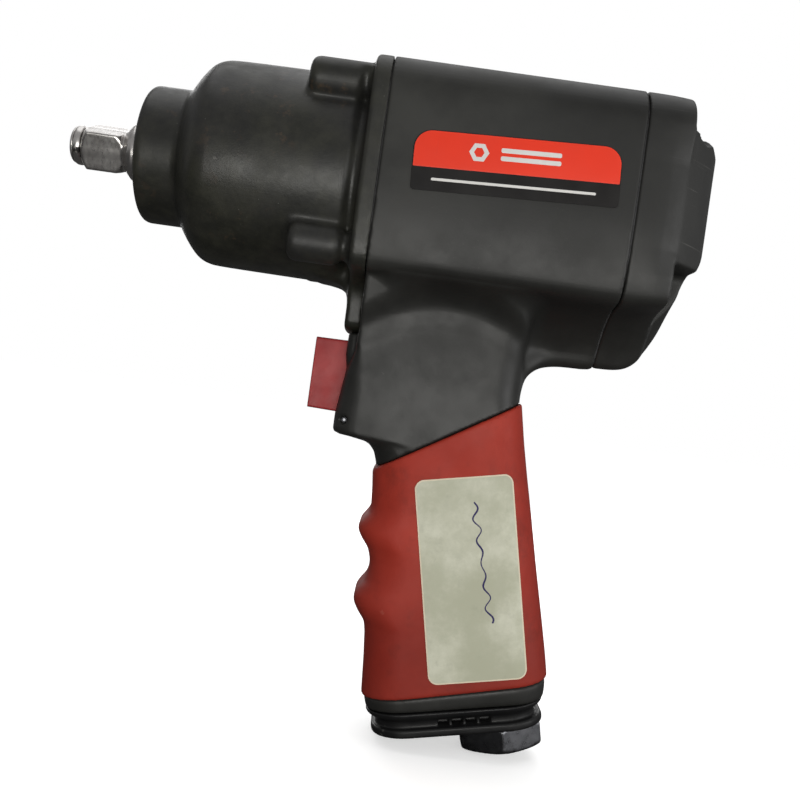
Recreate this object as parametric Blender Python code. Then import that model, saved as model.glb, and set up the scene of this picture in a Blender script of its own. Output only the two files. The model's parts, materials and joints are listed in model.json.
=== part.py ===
"""Pneumatic pistol-grip impact wrench with a half inch square drive.

X runs along the drive axis with the anvil's end face at X = 0 and the rear at +X, Z is up.
The name plate and the grip label are on the -Y side. Dimensions are in millimetres.
"""

import math

import bmesh
import bpy
from mathutils import Matrix, Vector

MM = 0.001
GAP = 0.25

# Driving dimensions
DRIVE_SQUARE = 12.7
DRIVE_TURN = 26.0
SHANK_R = 9.7
NOSE_R = 22.2
CASE_R = 33.1
CASE_FRONT = 25.7
SHOULDER = 39.4
CAVITY_R = 28.5
FLANGE_FRONT = 97.4
FRONT_SEAM = 103.4
REAR_SEAM = 180.9
MOTOR_BORE_R = 30.0
BOLT_Y = 25.5
BOLT_Z = 25.2
BOLT_R = 2.5
BOLT_TIP = 86.0
SEAT_X = 195.5
KNOB_Z = 2.6
KNOB_R = 17.0
ROTOR_R = 19.5
CYLINDER_BORE_R = 22.5
CYLINDER_SHIFT = 2.5
TRIGGER_Z = -64.2
TRIGGER_TRAVEL = 5.5
GRIP_INSET = 2.3
NECK_INSET = 0.8
RAKE = math.radians(12.0)
BASE_X = 149.45
BASE_Z = -158.45
INLET_U = 14.1
INLET_HEX = 26.0
PLATE_Y = 35.25


# ---------------------------------------------------------------- small helpers

def clear_scene():
    for obj in list(bpy.data.objects):
        bpy.data.objects.remove(obj, do_unlink=True)


def material(name, color, metallic=0.0, roughness=0.5):
    made = bpy.data.materials.new(name)
    made.use_nodes = True
    shader = made.node_tree.nodes["Principled BSDF"]
    shader.inputs["Base Color"].default_value = (*color, 1.0)
    shader.inputs["Metallic"].default_value = metallic
    shader.inputs["Roughness"].default_value = roughness
    made.diffuse_color = (*color, 1.0)
    return made


def tidy(mesh):
    """Outward normals and no doubled points."""
    work = bmesh.new()
    work.from_mesh(mesh)
    bmesh.ops.remove_doubles(work, verts=work.verts, dist=2e-6)
    bmesh.ops.dissolve_degenerate(work, edges=work.edges, dist=2e-6)
    bmesh.ops.recalc_face_normals(work, faces=work.faces)
    if work.calc_volume(signed=True) < 0:
        bmesh.ops.reverse_faces(work, faces=work.faces)
    work.to_mesh(mesh)
    work.free()


def solid(name, points, faces):
    """A mesh object from points in millimetres."""
    mesh = bpy.data.meshes.new(name)
    mesh.from_pydata([[c * MM for c in point] for point in points], [], faces)
    tidy(mesh)
    obj = bpy.data.objects.new(name, mesh)
    bpy.context.scene.collection.objects.link(obj)
    return obj


def combine(obj, others, operation):
    """Applies an exact Boolean with each of the others, and removes them."""
    for other in others:
        step = obj.modifiers.new("step", "BOOLEAN")
        step.solver = "EXACT"
        step.operation = operation
        step.object = other
        bpy.context.view_layer.update()
        graph = bpy.context.evaluated_depsgraph_get()
        result = bpy.data.meshes.new_from_object(obj.evaluated_get(graph))
        obj.modifiers.clear()
        obj.data = result
        tidy(result)
        bpy.data.objects.remove(other, do_unlink=True)
    return obj


def join(obj, *others):
    return combine(obj, others, "UNION")


def cut(obj, *others):
    return combine(obj, others, "DIFFERENCE")


def keep(obj, *others):
    return combine(obj, others, "INTERSECT")


def finish(obj, made, origin=(0, 0, 0), smooth=True):
    """Names the mesh, sets its origin, its material and its shading."""
    obj.data.name = obj.name
    centre = Vector(origin) * MM
    obj.data.transform(Matrix.Translation(-centre))
    obj.location = centre
    obj.data.materials.clear()
    obj.data.materials.append(made)
    for polygon in obj.data.polygons:
        polygon.use_smooth = smooth
    if smooth:
        obj.data.set_sharp_from_angle(angle=math.radians(35))
    return obj


def ring_faces(rows, count, closed_rows):
    faces = []
    last = rows if closed_rows else rows - 1
    for row in range(last):
        for k in range(count):
            a = row * count + k
            b = row * count + (k + 1) % count
            c = ((row + 1) % rows) * count + (k + 1) % count
            d = ((row + 1) % rows) * count + k
            faces.append((a, b, c, d))
    return faces


def turned(name, profile, steps=28, centre=(0, 0), ring=False, start=0.0):
    """Turns (x, r) points about an X axis through centre. A ring's profile is a closed loop."""
    points = []
    for x, r in profile:
        for k in range(steps):
            angle = start + math.tau * k / steps
            points.append((x, centre[0] + r * math.cos(angle), centre[1] + r * math.sin(angle)))
    faces = ring_faces(len(profile), steps, ring)
    if not ring:
        faces.append(tuple(range(steps)))
        faces.append(tuple(range((len(profile) - 1) * steps, len(profile) * steps)))
    return solid(name, points, faces)


def rod(name, x0, x1, r, steps=24, centre=(0, 0)):
    return turned(name, [(x0, r), (x1, r)], steps, centre)


def tube(name, x0, x1, r_in, r_out, steps=28, centre=(0, 0)):
    return turned(name, [(x0, r_in), (x0, r_out), (x1, r_out), (x1, r_in)], steps, centre, True)


def box(name, low, high):
    x0, y0, z0 = low
    x1, y1, z1 = high
    points = [(x, y, z) for x in (x0, x1) for y in (y0, y1) for z in (z0, z1)]
    faces = [(0, 1, 3, 2), (4, 6, 7, 5), (0, 4, 5, 1), (2, 3, 7, 6), (0, 2, 6, 4), (1, 5, 7, 3)]
    return solid(name, points, faces)


def lofted(name, sections):
    """Joins closed sections, each a list of points of the same length."""
    count = len(sections[0])
    points = [point for section in sections for point in section]
    faces = ring_faces(len(sections), count, False)
    faces.append(tuple(range(count)))
    faces.append(tuple(range((len(sections) - 1) * count, len(sections) * count)))
    return solid(name, points, faces)


def along_y(name, outline, y0, y1):
    """Extrudes an (x, z) outline in Y."""
    return lofted(name, [[(x, y, z) for x, z in outline] for y in (y0, y1)])


def along_x(name, outline, x0, x1):
    """Extrudes a (y, z) outline in X."""
    return lofted(name, [[(x, y, z) for y, z in outline] for x in (x0, x1)])


def angled_rod(name, start, end, r, steps=16):
    a = Vector(start)
    b = Vector(end)
    side = (b - a).cross(Vector((0, 1, 0))).normalized()
    other = (b - a).cross(side).normalized()
    sections = []
    for base in (a, b):
        row = []
        for k in range(steps):
            angle = math.tau * k / steps
            row.append(base + side * (r * math.cos(angle)) + other * (r * math.sin(angle)))
        sections.append([tuple(point) for point in row])
    return lofted(name, sections)


def between(table, value):
    """Linear interpolation in a table of (key, value) with falling keys."""
    for (k0, v0), (k1, v1) in zip(table, table[1:]):
        if k1 <= value <= k0:
            return v0 + (v1 - v0) * (value - k0) / (k1 - k0)
    return table[0][1] if value > table[0][0] else table[-1][1]


def base_point(u, v, y=0.0):
    """A point of the raked base: u to the rear along the base, v down the handle's axis."""
    x = BASE_X + u * math.cos(RAKE) + v * math.sin(RAKE)
    z = BASE_Z + u * math.sin(RAKE) - v * math.cos(RAKE)
    return (x, y, z)


def base_profile(name, profile, centre_u, steps=28, ring=False):
    """Turns (v, r) points about the raked axis through centre_u."""
    rows = []
    for v, r in profile:
        for k in range(steps):
            angle = math.tau * k / steps
            rows.append(base_point(centre_u + r * math.cos(angle), v, r * math.sin(angle)))
    faces = ring_faces(len(profile), steps, ring)
    if not ring:
        faces.append(tuple(range(steps)))
        faces.append(tuple(range((len(profile) - 1) * steps, len(profile) * steps)))
    return solid(name, rows, faces)


def base_block(name, outline, levels):
    """Joins copies of a (u, y) outline, each level (v, inset) moving it down and in."""
    sections = []
    for v, inset in levels:
        row = []
        for u, y in outline:
            reach = math.hypot(u, y)
            row.append(base_point(u * (1 - inset / reach), v, y * (1 - inset / reach)))
        sections.append(row)
    return lofted(name, sections)


# ---------------------------------------------------------------- outlines

def housing_outline(wedge, inset=0.0):
    """The (y, z) section of the body: wedge 0 is the front tongue, 1 the rear keel."""
    half = [(0, 35.0), (12, 35.0), (23, 34.8)]
    for angle in (72, 54, 36, 18, 0):
        turn = math.radians(angle)
        half.append((23.2 + 12 * math.cos(turn), 22.8 + 12 * math.sin(turn)))
    half += [(35.2, 14.5), (35.2, -8.0), (34.6, -18.0), (33.0, -25.5), (30.4, -29.6), (26.6, -31.4)]
    tongue = [(20, -32.6), (14.6, -34.6), (12.4, -38.0), (12.0, -43.0), (11.2, -47.6), (7.5, -49.4)]
    keel = [(21, -33.0), (15.4, -35.6), (11.0, -38.6), (7.4, -42.4), (4.4, -46.6), (2.4, -49.6)]
    for (y0, z0), (y1, z1) in zip(tongue, keel):
        half.append((y0 + (y1 - y0) * wedge, z0 + (z1 - z0) * wedge))
    half.append((0, -49.6 - 1.0 * wedge))
    scale = 1 - inset / 35.0
    right = [(y * scale, z * scale) for y, z in half]
    return right + [(-y, z) for y, z in reversed(right[1:-1])]


GRIP_FRONT = [
    (-60, 104.0), (-80, 111.5), (-92, 113.5), (-104.8, 114.5), (-107.3, 114.2), (-109.6, 112.6),
    (-112, 111.0), (-115.4, 112.0), (-118, 114.6), (-121.6, 116.0), (-126, 116.2),
    (-130.1, 115.7), (-133.6, 113.5), (-136.2, 112.9), (-138.6, 114.0), (-141.3, 116.7),
    (-143.8, 117.6), (-152.8, 118.7), (-164.7, 119.5), (-176, 121.5)]
GRIP_BACK = [
    (-56, 157.0), (-65.6, 158.6), (-77.5, 161.0), (-88.6, 163.6), (-99, 166.2), (-115.9, 170.2),
    (-134.6, 174.9), (-144.5, 177.3), (-152.6, 179.0), (-158, 179.8), (-176, 182.2)]
NECK_FRONT = [
    (-30, 99.4), (-52.4, 99.4), (-61.6, 100.6), (-66.3, 100.8), (-75.9, 99.4), (-81.8, 99.4),
    (-83.1, 101.2), (-83.7, 108.2), (-85.0, 111.8), (-87.4, 113.8), (-92.5, 115.2)]
NECK_WIDE = [(-30, 27.0), (-33, 24.0), (-37, 21.6), (-43, 20.2), (-52, 19.7), (-92, 19.7)]
NECK_LIP = [(-30, 12.0), (-78, 12.0), (-84, 13.5), (-88, 16.0), (-92.5, 19.0)]
NECK_BACK = [(-30, 157.6), (-63.7, 157.1), (-92.5, 163.6)]


def plan_outline(front, back, lip, wide, front_r, back_r, z):
    """A level section of the handle: lip is its half width at the front, wide further back."""
    half = [(front, 0.0)]
    for k in range(4):
        turn = math.radians(30 * k)
        half.append((front + front_r * (1 - math.cos(turn)), lip - front_r + front_r * math.sin(turn)))
    start = front + front_r
    for part in (0.5, 1.0):
        ease = part * part * (3 - 2 * part)
        half.append((start + 11.0 * part, lip + (wide - lip) * ease))
    for k in range(4):
        turn = math.radians(30 * k)
        half.append((back - back_r * (1 - math.sin(turn)), wide - back_r + back_r * math.cos(turn)))
    half.append((back, 0.0))
    return [(x, y, z) for x, y in half] + [(x, -y, z) for x, y in reversed(half[1:-1])]


def grip_section(z, inset):
    front = between(GRIP_FRONT, z) + inset
    back = between(GRIP_BACK, z) - inset
    wide = 20.6 - inset
    return plan_outline(front, back, wide - 0.6, wide, 12.0 - inset, 11.0 - inset, z)


def grip_loft(name, inset, plain=False):
    """The handle below the neck. A plain one leaves out most levels of the finger bumps."""
    levels = [z for z, _ in GRIP_FRONT]
    if plain:
        levels = [-82, -104.8, -112, -121.6, -136.2, -143.8, -164.7, -176]
    return lofted(name, [grip_section(z, inset) for z in levels])


def grip_half_width(x, z):
    """The grip's half width at a point of its side, read from its straight facets."""
    levels = [level for level, _ in GRIP_FRONT]
    above = min(level for level in levels if level >= z)
    below = max(level for level in levels if level < z)
    part = (above - z) / (above - below)
    upper = grip_section(above, 0.0)
    lower = grip_section(below, 0.0)
    half = []
    for (x0, y0, _), (x1, y1, _) in list(zip(upper, lower))[: len(upper) // 2 + 1]:
        half.append((x0 + (x1 - x0) * part, y0 + (y1 - y0) * part))
    for (x0, y0), (x1, y1) in zip(half, half[1:]):
        if x0 <= x <= x1 and x1 > x0:
            return y0 + (y1 - y0) * (x - x0) / (x1 - x0)
    return 0.0


def grip_span(grow):
    """The slanted band that the grip covers, seen from the side."""
    top = math.hypot(1, 0.6154) * grow
    bottom = grow / math.cos(RAKE)
    slope = math.tan(RAKE)
    return [
        (100, -100.5 + top), (190, -45.1 + top),
        (190, BASE_Z + (190 - BASE_X) * slope - bottom), (100, BASE_Z + (100 - BASE_X) * slope - bottom)]


# ---------------------------------------------------------------- impact mechanism

def anvil():
    made = turned("anvil", [
        (0, 4.6), (0.5, 5.8), (1.35, 5.9), (1.35, 3.7), (4.05, 3.7), (4.05, 5.8),
        (4.6, 6.1), (17.6, 6.1), (18.6, 7.0), (20.0, 9.0), (21.0, SHANK_R), (50.0, SHANK_R),
        (50.4, 8.4), (91.0, 8.4), (91.4, 6.0), (94.4, 5.6)], 28)
    half = DRIVE_SQUARE / 2
    square = box("square", (4.4, -half, -half), (18.0, half, half))
    square.data.transform(Matrix.Rotation(math.radians(DRIVE_TURN), 4, "X"))
    limit = turned("limit", [
        (4.45, 6.4), (6.3, 8.35), (15.6, 8.35), (17.4, 7.4), (17.9, 6.3)], 28)
    join(made, keep(square, limit))
    for x0, x1, side in ((57.6, 72.6, 1), (74.6, 90.0, -1)):
        jaw = [(0, 0), (12.6 * side, 3.2), (12.6 * side, -3.2)]
        for angle in (-28, -14, 0, 14, 28):
            turn = math.radians(angle)
            jaw.append((side * 12.6 * math.cos(turn), 12.6 * math.sin(turn)))
        wedge = [jaw[0]] + jaw[3:]
        join(made, along_x("jaw", wedge, x0, x1))
    return finish(made, STEEL)


def retainer():
    ring = tube("retainer_ring", 1.55, 3.85, 5.15, 6.5, 32)
    turn = Matrix.Rotation(math.radians(118), 4, "X")
    slit = box("slit", (0, 3, -0.9), (6, 9, 0.9))
    slit.data.transform(turn)
    finish(cut(ring, slit), STEEL)
    profile = []
    for k in range(6):
        angle = math.tau * k / 6
        profile.append((2.7 + 0.6 * math.cos(angle), 4.42 + 0.6 * math.sin(angle)))
    finish(turned("retainer_o_ring", profile, 16, ring=True), RUBBER)


def hammer_case():
    made = turned("hammer_case", [
        (CASE_FRONT, 11.2), (CASE_FRONT, NOSE_R - 2.0), (26.3, NOSE_R - 0.6), (27.7, NOSE_R),
        (SHOULDER, NOSE_R), (SHOULDER + 0.2, 23.6), (40.8, 26.6), (42.6, 29.2), (45.0, 31.3),
        (48.0, 32.7), (51.5, CASE_R), (FLANGE_FRONT + 2, 33.8), (FRONT_SEAM - 0.3, 33.8),
        (FRONT_SEAM - 0.3, CAVITY_R), (50.5, CAVITY_R), (50.5, 17.4), (45.8, 17.4),
        (45.8, 14.0), (28.2, 14.0), (28.2, 11.2)], 32, ring=True)
    flange = housing_outline(0.0)
    plate = lofted("plate", [
        [(FLANGE_FRONT, y * 0.985, z * 0.985) for y, z in flange],
        [(FLANGE_FRONT + 0.8, y, z) for y, z in flange],
        [(FRONT_SEAM - 0.3, y, z) for y, z in flange]])
    cut(plate, rod("hole", 90, 110, 30.5, 32))
    join(made, plate)
    for y in (-BOLT_Y, BOLT_Y):
        for z in (-BOLT_Z, BOLT_Z):
            boss = turned("boss", [
                (78.6, 3.6), (79.4, 5.2), (81.2, 6.2), (98.5, 6.4)], 14, (y, z))
            cut(boss, rod("core", 70, 110, 30.0, 32))
            join(made, boss)
    web = along_y("web", [(90.0, -30.0), (99.0, -30.0), (99.0, -37.4), (96.0, -36.0), (91.5, -34.4)],
                  -9.0, 9.0)
    cut(web, rod("core", 70, 110, 30.0, 32))
    join(made, web)
    for y in (-BOLT_Y, BOLT_Y):
        for z in (-BOLT_Z, BOLT_Z):
            cut(made, rod("hole", BOLT_TIP - 2.5, 110, BOLT_R + GAP + 0.1, 10, (y, z)))
    return finish(made, CASE)


def nose_bushing():
    finish(turned("nose_bushing", [
        (28.5, SHANK_R + GAP), (28.5, 13.0), (29.2, 13.75), (46.05, 13.75), (46.05, 17.1),
        (49.6, 17.1), (49.6, SHANK_R + GAP)], 28, ring=True), BRONZE)


def hammer_cage():
    made = tube("hammer_cage", 53.0, 56.8, 13.4, 27.2, 32)
    rear = turned("rear", [
        (91.6, 6.3), (91.6, 27.2), (95.6, 27.2), (95.6, 12.0), (102.4, 11.4), (102.4, 7.4),
        (95.2, 7.4), (95.2, 6.3)], 32, ring=True)
    cut(rear, rod("clear", 94.0, 104.0, 7.4, 32))
    join(made, rear)
    for side in (-1, 1):
        strut = tube("strut", 55.0, 93.0, 24.3, 26.9, 32)
        keep(strut, box("part", (50, 12 if side > 0 else -30, -11.5), (100, 30 if side > 0 else -12, 11.5)))
        join(made, strut)
        cut(made, rod("hole", 50, 99, 3.25, 20, (0, 21.6 * side)))
    return finish(made, STEEL)


def hammers():
    for name, x0, x1, side in (("hammer_front", 57.4, 73.0, 1), ("hammer_rear", 74.4, 91.0, -1)):
        ring = turned(name, [
            (x0, 15.0), (x0, 22.3), (x1, 22.3), (x1, 15.0)],
            32, ring=True)
        pivot = rod("pivot", 50, 100, 3.3, 20, (0, 21.6 * side))
        slot = box("slot", (50, -5.9, 17.9 if side < 0 else -26), (100, 5.9, 26 if side < 0 else -17.9))
        cut(ring, pivot, slot)
        finish(ring, STEEL, (0.5 * (x0 + x1), 0, 21.6 * side))
        pin = turned("hammer_pin_upper" if side > 0 else "hammer_pin_lower", [
            (53.2, 3.0), (95.2, 3.0)], 16, (0, 21.6 * side))
        finish(pin, STEEL)


# ---------------------------------------------------------------- air motor

def end_plates():
    front = turned("front_end_plate", [
        (103.9, 9.0), (103.9, 20.0), (105.4, 20.0), (105.4, 29.7), (112.0, 29.7), (112.0, 8.0),
        (110.6, 8.0), (110.6, 14.1), (104.9, 14.1), (104.9, 9.0)], 32, ring=True)
    finish(front, ALLOY)
    finish(turned("front_bearing", [
        (105.1, 7.3), (105.1, 13.8), (110.4, 13.8), (110.4, 7.3)],
        24, ring=True), STEEL)
    rear = turned("rear_end_plate", [
        (162.2, 7.2), (162.2, 29.7), (169.4, 29.7), (169.4, 17.2), (176.6, 17.2), (176.6, 9.0),
        (170.6, 9.0), (170.6, 13.2), (163.8, 13.2), (163.8, 7.2)], 32, ring=True)
    cut(rear, rod("port", 160, 180, 2.2, 16, (0, 23.0)), rod("dowel", 160, 166, 1.8, 16, (0, -25.6)))
    finish(rear, ALLOY)
    finish(turned("rear_bearing", [
        (164.0, 6.8), (164.0, 12.9), (170.4, 12.9), (170.4, 6.8)],
        24, ring=True), STEEL)


def cylinder():
    made = rod("cylinder", 112.25, 161.95, 29.6, 32)
    cut(made, rod("bore", 110, 164, CYLINDER_BORE_R, 32, (0, CYLINDER_SHIFT)))
    for x in (124.0, 137.0, 150.0):
        cut(made, box("port", (x - 3.5, -40, -3.0), (x + 3.5, -15, 3.0)))
    cut(made, rod("dowel", 155.0, 164.0, 1.8, 16, (0, -25.6)))
    finish(made, ALLOY)
    finish(rod("cylinder_pin", 155.3, 165.6, 1.5, 16, (0, -25.6)), STEEL)


def rotor():
    made = turned("rotor", [
        (96.4, 5.6), (97.2, 6.6), (103.6, 6.6), (103.8, 7.0), (112.6, 7.0), (112.6, ROTOR_R),
        (161.6, ROTOR_R), (161.6, 6.5), (174.0, 6.5), (174.6, 5.8)], 32)
    for k in range(6):
        angle = math.radians(60 * k + 15)
        slot = box("slot", (110, 10.6, -1.75), (164, 24, 1.75))
        slot.data.transform(Matrix.Rotation(angle, 4, "X"))
        cut(made, slot)
        vane = box("vane_%d" % (k + 1), (112.9, 10.9, -1.5), (161.3, 19.3, 1.5))
        vane.data.transform(Matrix.Rotation(angle, 4, "X"))
        finish(vane, VANE, smooth=False)
    finish(made, STEEL)


# ---------------------------------------------------------------- housing

def bolt_holes(obj, x0, x1, r):
    for y in (-BOLT_Y, BOLT_Y):
        for z in (-BOLT_Z, BOLT_Z):
            cut(obj, rod("hole", x0, x1, r, 10, (y, z)))


def gasket(name, x0, x1, wedge, bore):
    made = along_x(name, housing_outline(wedge, 0.8), x0, x1)
    cut(made, rod("bore", x0 - 2, x1 + 2, bore, 32))
    bolt_holes(made, x0 - 2, x1 + 2, 3.0)
    finish(made, GASKET)


def motor_housing():
    body = []
    for x, wedge in ((FRONT_SEAM + 0.3, 0), (122, 0.15), (140, 0.5), (156, 0.85), (170, 1), (REAR_SEAM - 0.3, 1)):
        body.append([(x, y, z) for y, z in housing_outline(wedge)])
    made = lofted("motor_housing", body)
    neck = []
    for z in (-30, -33, -37, -43, -52.4, -64, -75.9, -83, -84.9, -85.4, -86.8, -89.2, -92.5):
        front = between(NECK_FRONT, z)
        wide = between(NECK_WIDE, z)
        lip = between(NECK_LIP, z)
        radius = 3.0 + 9.0 * max(0.0, (-84 - z) / 8.5)
        neck.append(plan_outline(front, between(NECK_BACK, z), lip, wide, radius, 14.0, z))
    neck.append(grip_section(-97, NECK_INSET))
    upper = lofted("upper", neck)
    cut(upper, box("shelf", (90, -30, -49.95), (FRONT_SEAM + 0.3, 30, -20)))
    join(made, upper)
    join(made, along_y("fairing", [
        (150, -42), (178, -42), (172, -50.55), (167.4, -51.3), (163.0, -53.0), (160.0, -55.4),
        (158.3, -58.6), (157.3, -63), (150, -64)], -5.5, 5.5))
    handle = grip_loft("handle", NECK_INSET, plain=True)
    slope = math.tan(RAKE)
    end = 4.8 / math.cos(RAKE)
    below = [
        (100, BASE_Z + (100 - BASE_X) * slope - end), (200, BASE_Z + (200 - BASE_X) * slope - end),
        (200, -220), (100, -220)]
    cut(handle, along_y("below", below, -40, 28))
    join(made, handle)
    recess = along_y("recess", grip_span(0.0), -40, 28)
    cut(recess, grip_loft("core", GRIP_INSET, plain=True))
    cut(made, recess)

    cut(made, rod("bore", 100, 190, MOTOR_BORE_R, 32))
    bolt_holes(made, 100, 190, 3.0)
    cut(made, box("pocket", (90, -7.4, -76.2), (112.5, 7.4, -52.4)))
    cut(made, rod("throttle", 108, 151.5, 6.7, 24, (0, TRIGGER_Z)))
    cut(made, angled_rod("feed", (127, 0, -58), (127, 0, -26), 4.5, 20))
    cut(made, base_profile("inlet", [(-96, 5.6), (-17.9, 5.6), (-17.9, 9.2), (10, 9.2)], INLET_U, 28))
    for y in (-12.2, 12.2):
        cut(made, angled_rod("exhaust", (118, y, -24), (133, y, -158), 3.6, 16))
    cut(made, base_block("chamber", [(-25, -13), (-25, 13), (-1, 13), (-1, -13)], [(-14, 0), (10, 0)]))
    return finish(made, SHELL)


def rear_cover():
    sections = []
    for x, inset in ((REAR_SEAM + 0.3, 0.5), (REAR_SEAM + 0.9, 0.15), (186, 0.4), (190, 1.1),
                     (194, 2.5), (198, 5.4), (202, 9.2), (205, 12.8), (206.4, 14.8)):
        sections.append([(x, y, z) for y, z in housing_outline(1.0, inset)])
    made = lofted("rear_cover", sections)
    below = [(170, -50.6), (185.4, -50.6), (189.6, -50.0), (192.8, -48.4), (196.6, -44.2),
             (199.2, -40.0), (201.0, -35.7), (202.3, -30.1), (203.9, -23.4), (206.7, -15.5)]
    keep(made, along_y("kept", below + [(212, -10), (212, 40), (170, 40)], -40, 40))
    cut(made, box("upper_step", (SEAT_X, -40, 23.4), (215, 40, 40)))
    for side in (-1, 1):
        near = 11.0 * side
        far = 40.0 * side
        cut(made, box("lower_step", (SEAT_X, min(near, far), -60), (215, max(near, far), -17.2)))
    for y in (-BOLT_Y, BOLT_Y):
        for z in (-BOLT_Z, BOLT_Z):
            cut(made, rod("head", SEAT_X - 5.6, 215, 4.7, 16, (y, z)))
    bolt_holes(made, 170, 215, 3.0)
    cut(made, rod("cavity", 170, 184.5, 24.0, 28))
    cut(made, rod("valve", 180, 200.4, 8.7, 32, (0, KNOB_Z)))
    cut(made, rod("stem", 190, 215, 4.2, 24, (0, KNOB_Z)))
    cut(made, rod("recess", 203.2, 215, KNOB_R + 0.4, 28, (0, KNOB_Z)))
    return finish(made, SHELL)


def reverse_control():
    profile = [
        (200.8, 3.8), (203.5, 3.8), (203.5, KNOB_R), (206.8, KNOB_R), (208.0, KNOB_R - 1.2),
        (208.6, 10.0), (209.0, 4.0)]
    knob = turned("reverse_knob", profile, 28, (0, KNOB_Z))
    for k in range(12):
        angle = math.tau * k / 12
        centre = (18.2 * math.cos(angle), KNOB_Z + 18.2 * math.sin(angle))
        cut(knob, rod("flute", 200, 215, 2.0, 12, centre))
    finish(knob, BLACK, (206, 0, KNOB_Z))
    valve = turned("reverse_valve", [
        (181.5, 6.6), (182.3, 8.4), (199.8, 8.4), (200.1, 7.6)], 32, (0, KNOB_Z))
    cut(valve, box("flow", (180, 1.5, KNOB_Z - 10), (192, 12, KNOB_Z + 10)))
    finish(valve, BRONZE, (190, 0, KNOB_Z))


def case_bolts():
    number = 0
    for z in (BOLT_Z, -BOLT_Z):
        for y in (-BOLT_Y, BOLT_Y):
            number += 1
            bolt = turned("case_bolt_%d" % number, [
                (BOLT_TIP, 1.9), (BOLT_TIP + 0.8, BOLT_R), (SEAT_X - 5.3, BOLT_R),
                (SEAT_X - 5.3, 4.25), (SEAT_X - 0.2, 4.25)], 12, (y, z))
            cut(bolt, turned("hex", [(SEAT_X - 3.2, 2.31), (SEAT_X + 2, 2.31)], 6, (y, z)))
            finish(bolt, STEEL)


def name_plate():
    def rounded(low_x, high_x, low_z, high_z, radii):
        outline = []
        corners = [(high_x, high_z, 0), (low_x, high_z, 90), (low_x, low_z, 180), (high_x, low_z, 270)]
        for (x, z, first), r in zip(corners, radii):
            sx = 1 if x == high_x else -1
            sz = 1 if z == high_z else -1
            for k in range(5):
                angle = math.radians(first + 22.5 * k)
                outline.append((x - sx * r + r * math.cos(angle), z - sz * r + r * math.sin(angle)))
        return outline

    made = along_y("name_plate", rounded(113.0, 175.0, -5.6, 12.5, (5.5, 5.5, 1.0, 1.0)),
                   -PLATE_Y - 0.35, -PLATE_Y)
    finish(made, PLATE, smooth=False)


# ---------------------------------------------------------------- grip, trigger and inlet

def grip():
    made = along_y("grip", grip_span(-0.2), -40, 28)
    keep(made, grip_loft("outer", 0.0))
    cut(made, grip_loft("inner", GRIP_INSET - GAP, plain=True))
    return finish(made, GRIP)


def grip_sticker():
    rows = 9
    columns = 11
    half_u = 15.5
    half_v = 32.0
    corner = 3.0
    inner = []
    outer = []
    for i in range(rows):
        v = -half_v + 2 * half_v * i / (rows - 1)
        over = max(0.0, corner - (half_v - abs(v)))
        reach = half_u - (corner - math.sqrt(max(0.0, corner ** 2 - over ** 2)))
        for j in range(columns):
            u = -reach + 2 * reach * j / (columns - 1)
            x = 149.0 + u * math.cos(RAKE) + v * math.sin(RAKE)
            z = -121.7 + u * math.sin(RAKE) - v * math.cos(RAKE)
            y = grip_half_width(x, z)
            inner.append((x, -y - 0.3, z))
            outer.append((x, -y - 0.65, z))
    count = rows * columns
    faces = []
    for i in range(rows - 1):
        for j in range(columns - 1):
            a = i * columns + j
            quad = (a, a + 1, a + columns + 1, a + columns)
            faces.append(quad)
            faces.append(tuple(count + k for k in reversed(quad)))
    rim = [j for j in range(columns)]
    rim += [i * columns + columns - 1 for i in range(1, rows)]
    rim += [(rows - 1) * columns + j for j in range(columns - 2, -1, -1)]
    rim += [i * columns for i in range(rows - 2, 0, -1)]
    for a, b in zip(rim, rim[1:] + rim[:1]):
        faces.append((a, b, count + b, count + a))
    finish(solid("grip_sticker", inner + outer, faces), LABEL)


def trigger():
    made = along_y("trigger", [
        (89.4, -54.4), (90.4, -53.1), (105.5, -52.9), (105.5, -75.7), (90.0, -75.4), (89.1, -74.2)],
        -7.0, 7.0)
    cut(made, rod("socket", 97, 110, 2.4, 20, (0, TRIGGER_Z)))
    finish(made, TRIGGER, (97.5, 0, TRIGGER_Z))
    finish(turned("throttle_pin", [
        (97.3, 2.1), (136.6, 2.1)], 16, (0, TRIGGER_Z)), STEEL)


def throttle():
    bushing = turned("throttle_bushing", [
        (114.0, 2.4), (114.0, 6.0), (114.6, 6.4), (135.4, 6.4), (135.4, 5.0), (134.0, 4.2),
        (134.0, 4.0), (119.0, 4.0), (119.0, 2.4)], 18, (0, TRIGGER_Z), True)
    cut(bushing, rod_up("window", 127, -60.5, -54, 3.0))
    finish(bushing, BRONZE)
    finish(turned("throttle_valve", [
        (136.9, 2.6), (137.2, 4.9), (139.4, 5.4), (141.0, 5.4), (141.2, 2.0), (143.0, 1.8)],
        18, (0, TRIGGER_Z)), RUBBER)
    turns = 4.5
    steps = int(turns * 10)
    rows = []
    for k in range(steps + 1):
        angle = math.tau * turns * k / steps
        x = 142.0 + 8.4 * k / steps
        centre = Vector((x, 3.9 * math.cos(angle), TRIGGER_Z + 3.9 * math.sin(angle)))
        radial = Vector((0, math.cos(angle), math.sin(angle)))
        row = []
        for j in range(4):
            turn = math.tau * j / 4
            row.append(tuple(centre + radial * (0.45 * math.cos(turn)) + Vector((0.45 * math.sin(turn), 0, 0))))
        rows.append(row)
    finish(lofted("throttle_spring", rows), STEEL, (150.4, 0, TRIGGER_Z))


def rod_up(name, x, z0, z1, r):
    return angled_rod(name, (x, 0, z0), (x, 0, z1), r, 20)


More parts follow.
